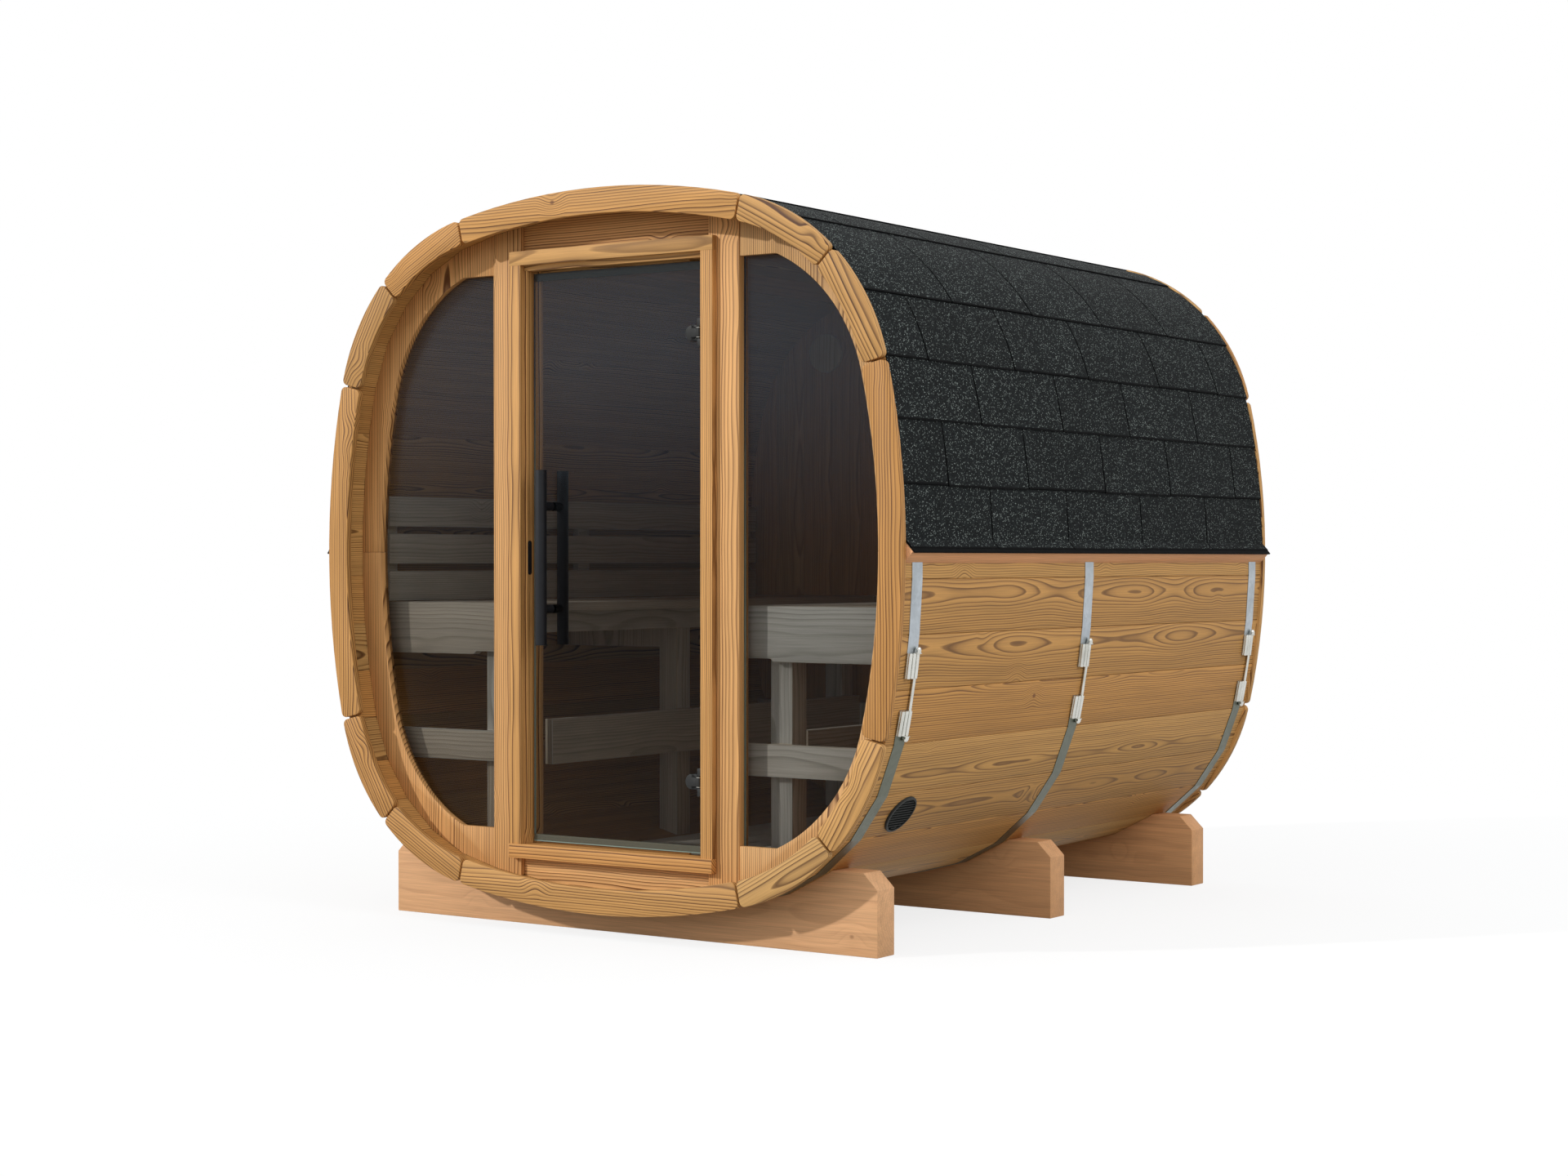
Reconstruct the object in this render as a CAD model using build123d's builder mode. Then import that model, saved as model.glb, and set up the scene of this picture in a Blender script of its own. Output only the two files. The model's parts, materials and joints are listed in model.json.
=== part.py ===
"""Barrel sauna with a soft-square section: staves, hoops, trim rings, glazed front wall, door and benches.

Millimetres, +Z up, the front at -Y, the origin on the ground under the middle of the barrel.
Depths are measured back from the face of the front ring, heights up or down from the barrel's axis.
"""

from build123d import *
import math
import os

os.makedirs("parts", exist_ok=True)

# Barrel section: one outline of flat-radius sides and tighter corners carries every ring, stave and course
RING_HALF = 1000.0
SIDE_RADIUS = 2248.0
CORNER_RADIUS = 598.0
BARREL_LENGTH = 2214.0
GROUND_CLEARANCE = 65.0

# Staves
STAVE_COUNT = 46
STAVE_INSET = 8.0
STAVE_THICKNESS = 43.0
STAVE_GAP = 0.4
STAVE_CHAMFER = 2.0
TOP_STAVES = 3
CORNER_STAVES = 6
SIDE_STAVES = 5

# Trim rings at both ends
RING_WIDTH = 72.0
RING_THICKNESS = 20.0
RING_GAP = 6.0
RING_END_CHAMFER = 9.0

# Fits
SKIN_GAP = 0.3
PANEL_GAP = 0.6

# Cradles
CRADLE_END_INSET = 156.0
CRADLE_WRAP = 128.0
CRADLE_THICKNESS = 77.0
CRADLE_CHAMFER = 14.0
CRADLE_SETBACK = 171.0

# Steel hoops and their tensioners
BAND_WIDTH = 50.0
BAND_THICKNESS = 1.5
BAND_STANDOFF = 21.0
CLAMP_TOP = 262.0
CLAMP_LENGTH = 66.0
CLAMP_SPACING = 150.0
CLAMP_WIDTH = 56.0
CLAMP_THICKNESS = 14.0
BOLT_RADIUS = 6.0
BOLT_BITE = 8.0
BOLT_OFFSET = 14.0

# Eave battens and shingles
BATTEN_OUT = 29.0
BATTEN_RISE = 27.0
BATTEN_DROP = 32.0
BATTEN_TIP_DROP = 2.0
NOTCH_PLAY = 1.0
SHINGLE_BUTT = 5.4
SHINGLE_HEAD = 1.4
SHINGLE_OVERHANG = 6.0
SHINGLE_THICKNESS = 4.0
COURSE_SHARES = (0.111, 0.221, 0.327, 0.448, 0.636, 0.746, 0.856)
RIDGE_HALF = 120.0
COURSE_STEP = 36.0

# Front wall
WALL_RECESS = 85.0
WALL_THICKNESS = 45.0
PANEL_SETBACK = 3.0
WINDOW_RAIL = 77.5
WINDOW_END_INSET = 208.0
WINDOW_CORNER = 25.0
GLASS_SETBACK = 18.0
GLASS_THICKNESS = 8.0
GLASS_LAP = 14.0
GLASS_PLAY = 1.5
POST_WIDTH = 102.0
INFILL_SETBACK = 15.0
INFILL_THICKNESS = 28.0

# Door frame
LINING_THICKNESS = 23.0
LINING_STEP = 20.0
CASING_WIDTH = 40.0
CASING_REVEAL = 10.0
CASING_PROUD = 19.0
HEAD_CASING_HEIGHT = 40.0
HEAD_REVEAL = 15.0
SILL_RISE = 170.0
SILL_HEIGHT = 40.0
SILL_NOSE = 4.0
STOP_WIDTH = 22.0
STOP_THICKNESS = 10.0
STOP_CLEARANCE = 6.0
STOP_END_INSET = 60.0

# Door leaf
DOOR_HALF = 300.0
DOOR_GAP = 7.0
DOOR_HEAD_DROP = 210.0
DOOR_SETBACK = 20.0
HINGE_DISC_INSET = 38.0
HINGE_END_INSET = 195.5
HINGE_DISC_RADIUS = 21.0
HINGE_DISC_THICKNESS = 6.0
HINGE_AXIS_INSET = 8.0
HINGE_AXIS_FRONT = 11.0
HINGE_HALF_HEIGHT = 38.0
HINGE_LUG_START = 18.0
HINGE_LUG_PLAY = 1.0
PIN_RADIUS = 4.0
PIN_PLAY = 0.5
KNUCKLE_RADIUS = 8.0
KNUCKLE_HALF = 12.0
HANDLE_INSET = 63.0
HANDLE_RADIUS = 15.0
HANDLE_REACH = 50.0
HANDLE_HALF = 247.0
HANDLE_POST_HALF = 145.0
HANDLE_POST_RADIUS = 9.0
STRIKE_HEIGHT = 97.0
STRIKE_WIDTH = 16.0
STRIKE_THICKNESS = 1.5

# Back wall and vents
BACK_WALL_THICKNESS = 43.0
BACK_VENT_LEAN_ANGLE = 36.0
BACK_VENT_INSET = 172.5
BACK_VENT_RADIUS = 68.0
BACK_VENT_BORE = 50.0
BACK_VENT_THICKNESS = 14.0
AIR_VENT_STAVE_INDEX = 16
AIR_VENT_SETBACK = 239.0
AIR_VENT_RADIUS = 57.0
AIR_VENT_THICKNESS = 7.0

# Floor grating
FLOOR_RISE = 115.0
FLOOR_HALF = 396.0
FLOOR_SLATS = 8
FLOOR_SLAT_THICKNESS = 22.0
FLOOR_SLAT_GAP = 12.0
FLOOR_JOIST_COUNT = 4
FLOOR_JOIST_WIDTH = 45.0
FLOOR_END_GAP = 12.0

# Benches and backrest
BENCH_HEIGHT = 738.0
BENCH_END_GAP = 22.0
BENCH_WALL_GAP = 108.0
AISLE_HALF = 385.0
BENCH_SLATS = 5
BENCH_SLAT_THICKNESS = 28.0
BENCH_SLAT_GAP = 8.0
LEG_SETBACK = 85.0
LEG_SIZE = 70.0
MID_LEG_LEAD = 61.0
END_BOARD_HEIGHT = 151.0
END_BOARD_THICKNESS = 28.0
END_BOARD_NOTCH = 9.0
NOTCH_END_LEFT = 567.0
NOTCH_END_RIGHT = 496.0
SLAT_END_PLAY = 2.0
MID_BEARER_HEIGHT = 125.0
FASCIA_HEIGHT = 62.0
FASCIA_THICKNESS = 28.0
LOW_RAIL_DROP = 347.0
LOW_RAIL_SETBACK = 180.0
LOW_RAIL_HEIGHT = 134.0
END_LOW_RAIL_DROP = 373.0
END_LOW_RAIL_HEIGHT = 88.0
BACKREST_SLATS = 3
BACKREST_PITCH = 112.0
BACKREST_SLAT_HEIGHT = 90.0
BACKREST_RISE = 315.0
BACKREST_WALL_GAP = 100.0
BACKREST_THICKNESS = 24.0
BACKREST_BATTEN_COUNT = 3
BACKREST_BATTEN_WIDTH = 60.0
BACKREST_END_GAP = 25.0

# Derived section values
QUARTER_ANGLE = 90.0
AXIS_HEIGHT = RING_HALF + GROUND_CLEARANCE
HALF_LENGTH = BARREL_LENGTH / 2
SIDE_CENTRE = RING_HALF - SIDE_RADIUS
REACH = SIDE_RADIUS - CORNER_RADIUS
CORNER_CENTRE = (SIDE_CENTRE + math.sqrt(2 * REACH**2 - SIDE_CENTRE**2)) / 2
SIDE_ANGLE = math.degrees(math.asin(CORNER_CENTRE / REACH))
STAVE_LENGTH = BARREL_LENGTH - 2 * RING_THICKNESS
CRADLE_HALF = RING_HALF - CRADLE_END_INSET
CRADLE_SPREAD = HALF_LENGTH - CRADLE_SETBACK
CRADLE_MIDDLES = (-CRADLE_SPREAD, 0.0, CRADLE_SPREAD)
BAND_OFFSET = CRADLE_THICKNESS / 2 + BAND_STANDOFF + BAND_WIDTH / 2
BAND_MIDDLES = (-CRADLE_SPREAD - BAND_OFFSET, -BAND_OFFSET, CRADLE_SPREAD + BAND_OFFSET)
SHINGLE_BASE_INSET = STAVE_INSET - BAND_THICKNESS - 2 * SKIN_GAP
SHINGLE_BUTT_INSET = SHINGLE_BASE_INSET - SHINGLE_BUTT
SHINGLE_HEAD_INSET = SHINGLE_BASE_INSET - SHINGLE_HEAD

# Derived depths, from the face of the front ring
WALL_BACK = WALL_RECESS + WALL_THICKNESS
PANEL_FACE = WALL_RECESS + PANEL_SETBACK
CASING_FACE = WALL_RECESS - CASING_PROUD
LINING_FACE = CASING_FACE + LINING_STEP
DOOR_FACE = LINING_FACE + DOOR_SETBACK
DOOR_BACK = DOOR_FACE + GLASS_THICKNESS
STOP_FACE = DOOR_BACK + STOP_CLEARANCE
FRAME_BACK = STOP_FACE + STOP_THICKNESS
BACK_WALL_OUTER = BARREL_LENGTH - WALL_RECESS
BACK_WALL_INNER = BACK_WALL_OUTER - BACK_WALL_THICKNESS
BENCH_FRONT = WALL_BACK + BENCH_END_GAP
BENCH_BACK = BACK_WALL_INNER - BENCH_END_GAP
TRESTLE_FRONT = BENCH_FRONT + END_BOARD_THICKNESS
TRESTLE_BACK = BENCH_BACK - END_BOARD_THICKNESS
LOW_RAIL_FRONT = TRESTLE_FRONT + LOW_RAIL_SETBACK
MID_LEG_FRONT = (BENCH_FRONT + BENCH_BACK - LEG_SIZE) / 2 - MID_LEG_LEAD

# Derived widths, from the middle of the barrel
LINING_OPENING = DOOR_HALF + DOOR_GAP
CASING_INNER = LINING_OPENING + CASING_REVEAL
CASING_OUTER = CASING_INNER + CASING_WIDTH
POST_INNER = LINING_OPENING + LINING_THICKNESS
POST_OUTER = POST_INNER + POST_WIDTH
STOP_END = DOOR_HALF - STOP_END_INSET
WINDOW_INSET = STAVE_INSET + STAVE_THICKNESS + WINDOW_RAIL
BENCH_OUTER = RING_HALF - BENCH_WALL_GAP
LEG_INNER = AISLE_HALF + LEG_SETBACK
BACKREST_FACE = RING_HALF - BACKREST_WALL_GAP

# Derived heights: the tops of door and window above the axis, all else below it
DOOR_TOP = RING_HALF - DOOR_HEAD_DROP
HEAD_LINING_BOTTOM = DOOR_TOP + DOOR_GAP
HEAD_CASING_BOTTOM = HEAD_LINING_BOTTOM + HEAD_REVEAL
HEADER_BOTTOM = HEAD_LINING_BOTTOM + LINING_THICKNESS
WINDOW_END = RING_HALF - WINDOW_END_INSET
SILL_TOP = RING_HALF - SILL_RISE
APRON_TOP = SILL_TOP + SILL_HEIGHT
DOOR_BOTTOM = SILL_TOP - DOOR_GAP
DOOR_MIDDLE = (DOOR_TOP - DOOR_BOTTOM) / 2
HINGE_HALF_SPACING = (DOOR_TOP + DOOR_BOTTOM) / 2 - HINGE_END_INSET
FLOOR_TOP = RING_HALF - FLOOR_RISE
FLOOR_UNDER = FLOOR_TOP + FLOOR_SLAT_THICKNESS
BENCH_TOP = FLOOR_TOP - BENCH_HEIGHT
BENCH_UNDER = BENCH_TOP + BENCH_SLAT_THICKNESS
END_BOARD_BOTTOM = BENCH_TOP + END_BOARD_HEIGHT
MID_BEARER_BOTTOM = BENCH_UNDER + MID_BEARER_HEIGHT
FASCIA_BOTTOM = BENCH_UNDER + FASCIA_HEIGHT
LOW_RAIL_TOP = BENCH_TOP + LOW_RAIL_DROP
END_LOW_RAIL_TOP = BENCH_TOP + END_LOW_RAIL_DROP
BACKREST_TOP = BACKREST_RISE - BENCH_TOP


def section_plane(depth):
    """Plane across the barrel, its origin on the axis, a depth behind the front of the front ring."""
    return Plane(origin=(0, depth - HALF_LENGTH, AXIS_HEIGHT), x_dir=(1, 0, 0), z_dir=(0, -1, 0))


def outline_point(angle, inset):
    """Point of the section outline whose outward normal leans this many degrees clockwise from up."""
    turns = math.floor(angle / QUARTER_ANGLE)
    lean = angle - turns * QUARTER_ANGLE
    if lean <= SIDE_ANGLE:
        centre_x, centre_z, radius = 0.0, SIDE_CENTRE, SIDE_RADIUS
    elif lean <= QUARTER_ANGLE - SIDE_ANGLE:
        centre_x, centre_z, radius = CORNER_CENTRE, CORNER_CENTRE, CORNER_RADIUS
    else:
        centre_x, centre_z, radius = SIDE_CENTRE, 0.0, SIDE_RADIUS
    x = centre_x + (radius - inset) * math.sin(math.radians(lean))
    z = centre_z + (radius - inset) * math.cos(math.radians(lean))
    for _ in range(turns % 4):
        x, z = z, -x
    return (x, z)


FLAT_RUN = (SIDE_RADIUS - STAVE_INSET) * math.radians(SIDE_ANGLE)
CORNER_RUN = (CORNER_RADIUS - STAVE_INSET) * math.radians(QUARTER_ANGLE - 2 * SIDE_ANGLE)
QUARTER_RUN = 2 * FLAT_RUN + CORNER_RUN


def run_angle(run):
    """Normal angle at a run along the outside of the staves, clockwise from the top middle."""
    turns = math.floor(run / QUARTER_RUN)
    rest = run - turns * QUARTER_RUN
    flat = min(rest, FLAT_RUN) + max(0.0, rest - FLAT_RUN - CORNER_RUN)
    corner = min(max(rest - FLAT_RUN, 0.0), CORNER_RUN)
    lean = flat / (SIDE_RADIUS - STAVE_INSET) + corner / (CORNER_RADIUS - STAVE_INSET)
    return turns * QUARTER_ANGLE + math.degrees(lean)


def offset_polygon(points, distance):
    """Clockwise polygon with every side moved inwards by a distance."""
    count = len(points)
    moved = []
    for i in range(count):
        sides = []
        for j in (i - 1, i):
            start, end = points[j % count], points[(j + 1) % count]
            length = math.dist(start, end)
            run = ((end[0] - start[0]) / length, (end[1] - start[1]) / length)
            sides.append((start[0] + run[1] * distance, start[1] - run[0] * distance, run))
        (ax, az, a), (bx, bz, b) = sides
        cross = a[0] * b[1] - a[1] * b[0]
        reach = ((bx - ax) * b[1] - (bz - az) * b[0]) / cross
        moved.append((ax + a[0] * reach, az + a[1] * reach))
    return moved


STAVE_RUN = 4 * QUARTER_RUN / STAVE_COUNT
STAVE_OUTER = [outline_point(run_angle(i * STAVE_RUN), STAVE_INSET) for i in range(STAVE_COUNT)]
STAVE_INNER = offset_polygon(STAVE_OUTER, STAVE_THICKNESS)
ROOM_OUTLINE = offset_polygon(STAVE_INNER, PANEL_GAP)
BAND_INNER = offset_polygon(STAVE_OUTER, -SKIN_GAP)
BAND_OUTER = offset_polygon(STAVE_OUTER, -SKIN_GAP - BAND_THICKNESS)


def along(start, end, distance):
    """Point a distance from start towards end."""
    share = distance / math.dist(start, end)
    return (start[0] + (end[0] - start[0]) * share, start[1] + (end[1] - start[1]) * share)


def stave_section(index):
    """Corner points of one stave: mitred sides and eased outer edges."""
    i = index % STAVE_COUNT
    j = (index + 1) % STAVE_COUNT
    outer_a = along(STAVE_OUTER[i], STAVE_OUTER[j], STAVE_GAP / 2)
    outer_b = along(STAVE_OUTER[j], STAVE_OUTER[i], STAVE_GAP / 2)
    inner_a = along(STAVE_INNER[i], STAVE_INNER[j], STAVE_GAP / 2)
    inner_b = along(STAVE_INNER[j], STAVE_INNER[i], STAVE_GAP / 2)
    return [
        inner_a,
        along(outer_a, inner_a, STAVE_CHAMFER),
        along(outer_a, outer_b, STAVE_CHAMFER),
        along(outer_b, outer_a, STAVE_CHAMFER),
        along(outer_b, inner_b, STAVE_CHAMFER),
        inner_b,
    ]


def polygon_face(points, mode=Mode.ADD):
    """Adds a closed polygon to the sketch being built."""
    with BuildLine(mode=Mode.PRIVATE) as border:
        Polyline(points, close=True)
    make_face(border.edges(), mode=mode)


def outline_face(inset, mode=Mode.ADD):
    """Adds the smooth section outline, moved in by an inset, to the sketch being built."""
    with BuildLine(mode=Mode.PRIVATE) as border:
        for turn in range(4):
            base = QUARTER_ANGLE * turn
            for centre, radius, start, sweep in (
                ((0.0, SIDE_CENTRE), SIDE_RADIUS, QUARTER_ANGLE - SIDE_ANGLE, 2 * SIDE_ANGLE),
                ((CORNER_CENTRE, CORNER_CENTRE), CORNER_RADIUS, SIDE_ANGLE, QUARTER_ANGLE - 2 * SIDE_ANGLE),
            ):
                x, z = centre
                for _ in range(turn):
                    x, z = -z, x
                CenterArc((x, z), radius - inset, start + base, sweep)
    make_face(border.edges(), mode=mode)


def box_face(left, right, low, high, mode=Mode.ADD):
    """Adds a rectangle given by its sides to the sketch being built."""
    with Locations(((left + right) / 2, (low + high) / 2)):
        Rectangle(right - left, high - low, mode=mode)


def room_strip(left, right, low, high):
    """Adds the part of a rectangle that fits inside the staves to the sketch being built."""
    polygon_face(ROOM_OUTLINE)
    box_face(left, right, low, high, mode=Mode.INTERSECT)


# Staves in eight named groups round the section
first = -TOP_STAVES
with BuildPart() as staves_top:
    with BuildSketch(section_plane(RING_THICKNESS)):
        for i in range(first, first + 2 * TOP_STAVES):
            polygon_face(stave_section(i))
    extrude(amount=-STAVE_LENGTH)
staves_top.part.label = "staves_top"
export_step(staves_top.part, "parts/staves_top.step")

first = TOP_STAVES
with BuildPart() as staves_upper_right:
    with BuildSketch(section_plane(RING_THICKNESS)):
        for i in range(first, first + CORNER_STAVES):
            polygon_face(stave_section(i))
    extrude(amount=-STAVE_LENGTH)
staves_upper_right.part.label = "staves_upper_right"
export_step(staves_upper_right.part, "parts/staves_upper_right.step")

first = first + CORNER_STAVES
with BuildPart() as staves_right:
    with BuildSketch(section_plane(RING_THICKNESS)):
        for i in range(first, first + SIDE_STAVES):
            polygon_face(stave_section(i))
    extrude(amount=-STAVE_LENGTH)
staves_right.part.label = "staves_right"
export_step(staves_right.part, "parts/staves_right.step")

first = first + SIDE_STAVES
with BuildPart() as staves_lower_right:
    with BuildSketch(section_plane(RING_THICKNESS)):
        for i in range(first, first + CORNER_STAVES):
            polygon_face(stave_section(i))
    extrude(amount=-STAVE_LENGTH)
staves_lower_right.part.label = "staves_lower_right"
export_step(staves_lower_right.part, "parts/staves_lower_right.step")

first = first + CORNER_STAVES
with BuildPart() as staves_floor:
    with BuildSketch(section_plane(RING_THICKNESS)):
        for i in range(first, first + 2 * TOP_STAVES):
            polygon_face(stave_section(i))
    extrude(amount=-STAVE_LENGTH)
staves_floor.part.label = "staves_floor"
export_step(staves_floor.part, "parts/staves_floor.step")

first = first + 2 * TOP_STAVES
with BuildPart() as staves_lower_left:
    with BuildSketch(section_plane(RING_THICKNESS)):
        for i in range(first, first + CORNER_STAVES):
            polygon_face(stave_section(i))
    extrude(amount=-STAVE_LENGTH)
staves_lower_left.part.label = "staves_lower_left"
export_step(staves_lower_left.part, "parts/staves_lower_left.step")

first = first + CORNER_STAVES
with BuildPart() as staves_left:
    with BuildSketch(section_plane(RING_THICKNESS)):
        for i in range(first, first + SIDE_STAVES):
            polygon_face(stave_section(i))
    extrude(amount=-STAVE_LENGTH)
staves_left.part.label = "staves_left"
export_step(staves_left.part, "parts/staves_left.step")

first = first + SIDE_STAVES
with BuildPart() as staves_upper_left:
    with BuildSketch(section_plane(RING_THICKNESS)):
        for i in range(first, STAVE_COUNT - TOP_STAVES):
            polygon_face(stave_section(i))
    extrude(amount=-STAVE_LENGTH)
staves_upper_left.part.label = "staves_upper_left"
export_step(staves_upper_left.part, "parts/staves_upper_left.step")


def ring_boards():
    """Adds the curved boards of one trim ring to the sketch being built: a long one a side, two a corner."""
    middle_share = 0.5
    eighth = QUARTER_ANGLE / 2
    for turn in range(4):
        for centre, radius, start, sweep in (
            ((0.0, SIDE_CENTRE), SIDE_RADIUS, QUARTER_ANGLE - SIDE_ANGLE, 2 * SIDE_ANGLE),
            ((CORNER_CENTRE, CORNER_CENTRE), CORNER_RADIUS, SIDE_ANGLE, eighth - SIDE_ANGLE),
            ((CORNER_CENTRE, CORNER_CENTRE), CORNER_RADIUS, eighth, eighth - SIDE_ANGLE),
        ):
            x, z = centre
            for _ in range(turn):
                x, z = -z, x
            play = math.degrees(RING_GAP * middle_share / (radius - RING_WIDTH * middle_share))
            begin = start + turn * QUARTER_ANGLE + play
            span = sweep - 2 * play
            with BuildLine(mode=Mode.PRIVATE) as border:
                outer = CenterArc((x, z), radius, begin, span)
                inner = CenterArc((x, z), radius - RING_WIDTH, begin, span)
                Line(outer @ 0, inner @ 0)
                Line(outer @ 1, inner @ 1)
            make_face(border.edges())


with BuildPart() as front_trim_ring:
    with BuildSketch(section_plane(0.0)) as boards:
        ring_boards()
        chamfer(boards.vertices(), RING_END_CHAMFER)
    extrude(amount=-RING_THICKNESS)
front_trim_ring.part.label = "front_trim_ring"
export_step(front_trim_ring.part, "parts/front_trim_ring.step")

with BuildPart() as back_trim_ring:
    with BuildSketch(section_plane(BARREL_LENGTH - RING_THICKNESS)) as boards:
        ring_boards()
        chamfer(boards.vertices(), RING_END_CHAMFER)
    extrude(amount=-RING_THICKNESS)
back_trim_ring.part.label = "back_trim_ring"
export_step(back_trim_ring.part, "parts/back_trim_ring.step")


def cradle_section():
    """Adds the cradle board, hollowed to the underside of the staves, to the sketch being built."""
    ground = -AXIS_HEIGHT
    top = CRADLE_WRAP - RING_HALF
    shoulder = CRADLE_HALF - CRADLE_CHAMFER
    polygon_face(
        [
            (-CRADLE_HALF, ground),
            (-CRADLE_HALF, top - CRADLE_CHAMFER),
            (-shoulder, top),
            (shoulder, top),
            (CRADLE_HALF, top - CRADLE_CHAMFER),
            (CRADLE_HALF, ground),
        ]
    )
    polygon_face(BAND_INNER, mode=Mode.SUBTRACT)


with BuildPart() as cradle_front:
    with BuildSketch(section_plane(HALF_LENGTH + CRADLE_MIDDLES[0] - CRADLE_THICKNESS / 2)):
        cradle_section()
    extrude(amount=-CRADLE_THICKNESS)
cradle_front.part.label = "cradle_front"
export_step(cradle_front.part, "parts/cradle_front.step")

with BuildPart() as cradle_middle:
    with BuildSketch(section_plane(HALF_LENGTH + CRADLE_MIDDLES[1] - CRADLE_THICKNESS / 2)):
        cradle_section()
    extrude(amount=-CRADLE_THICKNESS)
cradle_middle.part.label = "cradle_middle"
export_step(cradle_middle.part, "parts/cradle_middle.step")

with BuildPart() as cradle_back:
    with BuildSketch(section_plane(HALF_LENGTH + CRADLE_MIDDLES[2] - CRADLE_THICKNESS / 2)):
        cradle_section()
    extrude(amount=-CRADLE_THICKNESS)
cradle_back.part.label = "cradle_back"
export_step(cradle_back.part, "parts/cradle_back.step")


def side_point(run, inset):
    """Point of the right side a run below its middle."""
    return outline_point(run_angle(QUARTER_RUN + run), inset)


# Steel hoops, open between the two clamps of every tensioner
clamp_middle = CLAMP_TOP + CLAMP_LENGTH / 2
open_top = CLAMP_TOP + CLAMP_LENGTH
open_bottom = CLAMP_TOP + CLAMP_SPACING
open_high = side_point(open_top, STAVE_INSET)[1]
open_low = side_point(open_bottom, STAVE_INSET)[1]
with BuildPart() as steel_bands:
    for middle in BAND_MIDDLES:
        with BuildSketch(section_plane(HALF_LENGTH + middle - BAND_WIDTH / 2)):
            polygon_face(BAND_OUTER)
            polygon_face(BAND_INNER, mode=Mode.SUBTRACT)
            box_face(-2 * RING_HALF, 2 * RING_HALF, open_low, open_high, mode=Mode.SUBTRACT)
        extrude(amount=-BAND_WIDTH)
steel_bands.part.label = "steel_bands"
export_step(steel_bands.part, "parts/steel_bands.step")


def clamp_plane(middle, run, side):
    """Plane on a hoop at a run below the middle of a side: its x along the barrel, its normal outwards."""
    angle = math.radians(run_angle(QUARTER_RUN + run))
    x, z = side_point(run, STAVE_INSET - SKIN_GAP - BAND_THICKNESS)
    out = (side * math.sin(angle), 0, math.cos(angle))
    return Plane(origin=(side * x, middle, AXIS_HEIGHT + z), x_dir=(0, side, 0), z_dir=out)


def bolt_plane(middle, side):
    """Plane across a tensioner bolt at the upper clamp: its normal points down to the lower clamp."""
    start_x, start_z = side_point(open_top, STAVE_INSET - CLAMP_THICKNESS / 2)
    end_x, end_z = side_point(open_bottom, STAVE_INSET - CLAMP_THICKNESS / 2)
    slope = (side * (end_x - start_x), 0, end_z - start_z)
    start = (side * start_x, middle + BOLT_OFFSET, AXIS_HEIGHT + start_z)
    return Plane(origin=start, x_dir=(0, 1, 0), z_dir=slope)


bolt_length = open_bottom - open_top
with BuildPart() as tensioners:
    for middle in BAND_MIDDLES:
        for side in (1, -1):
            for run in (clamp_middle, clamp_middle + CLAMP_SPACING):
                with BuildSketch(clamp_plane(middle, run, side).offset(SKIN_GAP)):
                    Rectangle(CLAMP_WIDTH, CLAMP_LENGTH)
                extrude(amount=CLAMP_THICKNESS)
            with BuildSketch(bolt_plane(middle, side).offset(-BOLT_BITE)):
                Circle(BOLT_RADIUS)
            extrude(amount=bolt_length + 2 * BOLT_BITE)
tensioners.part.label = "tensioners"
export_step(tensioners.part, "parts/tensioners.step")

# Triangular battens that kick the lowest course outwards, notched over the hoops
batten_back = STAVE_OUTER[TOP_STAVES + CORNER_STAVES + SIDE_STAVES // 2][0] + SKIN_GAP
batten_tip = batten_back + BATTEN_OUT
notch_depth = BAND_THICKNESS + NOTCH_PLAY
with BuildPart() as eave_battens:
    with BuildSketch(section_plane(RING_THICKNESS)):
        for side in (1, -1):
            polygon_face(
                [
                    (side * batten_back, BATTEN_RISE),
                    (side * batten_tip, -BATTEN_TIP_DROP),
                    (side * batten_back, -BATTEN_DROP),
                ]
            )
    extrude(amount=-STAVE_LENGTH)
    for middle in BAND_MIDDLES:
        for side in (1, -1):
            with Locations((side * batten_back, middle, AXIS_HEIGHT)):
                Box(2 * notch_depth, BAND_WIDTH + 2 * NOTCH_PLAY, 4 * BATTEN_DROP, mode=Mode.SUBTRACT)
eave_battens.part.label = "eave_battens"
export_step(eave_battens.part, "parts/eave_battens.step")


def course_points(side):
    """Corner points of the stepped shingle skin of one side, from the eave up to the ridge strip."""
    kick = BATTEN_RISE + SHINGLE_THICKNESS / 2
    lip = math.sqrt(0.5) * SHINGLE_THICKNESS
    tip_x = batten_tip + SHINGLE_OVERHANG
    tip_z = -BATTEN_TIP_DROP - SHINGLE_OVERHANG + 2 * lip
    outer = [(tip_x - lip, tip_z - lip), (tip_x, tip_z)]
    ridge = QUARTER_RUN - RIDGE_HALF - SKIN_GAP
    edges = [kick] + [share * ridge for share in COURSE_SHARES] + [ridge]
    for low, high in zip(edges[:-1], edges[1:]):
        steps = max(2, round((high - low) / COURSE_STEP))
        for k in range(steps + 1):
            share = k / steps
            inset = SHINGLE_BUTT_INSET + (SHINGLE_HEAD_INSET - SHINGLE_BUTT_INSET) * share
            outer.append(outline_point(run_angle(QUARTER_RUN - low - (high - low) * share), inset))
    steps = round((ridge - kick) / COURSE_STEP)
    inner = []
    for k in range(steps + 1):
        run = QUARTER_RUN - kick - (ridge - kick) * k / steps
        inner.append(outline_point(run_angle(run), SHINGLE_BASE_INSET))
    return [(side * x, z) for x, z in outer + inner[::-1]]


skin_length = STAVE_LENGTH - 2 * SKIN_GAP
with BuildPart() as shingles_right:
    with BuildSketch(section_plane(RING_THICKNESS + SKIN_GAP)):
        polygon_face(course_points(1))
    extrude(amount=-skin_length)
shingles_right.part.label = "shingles_right"
export_step(shingles_right.part, "parts/shingles_right.step")

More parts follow.
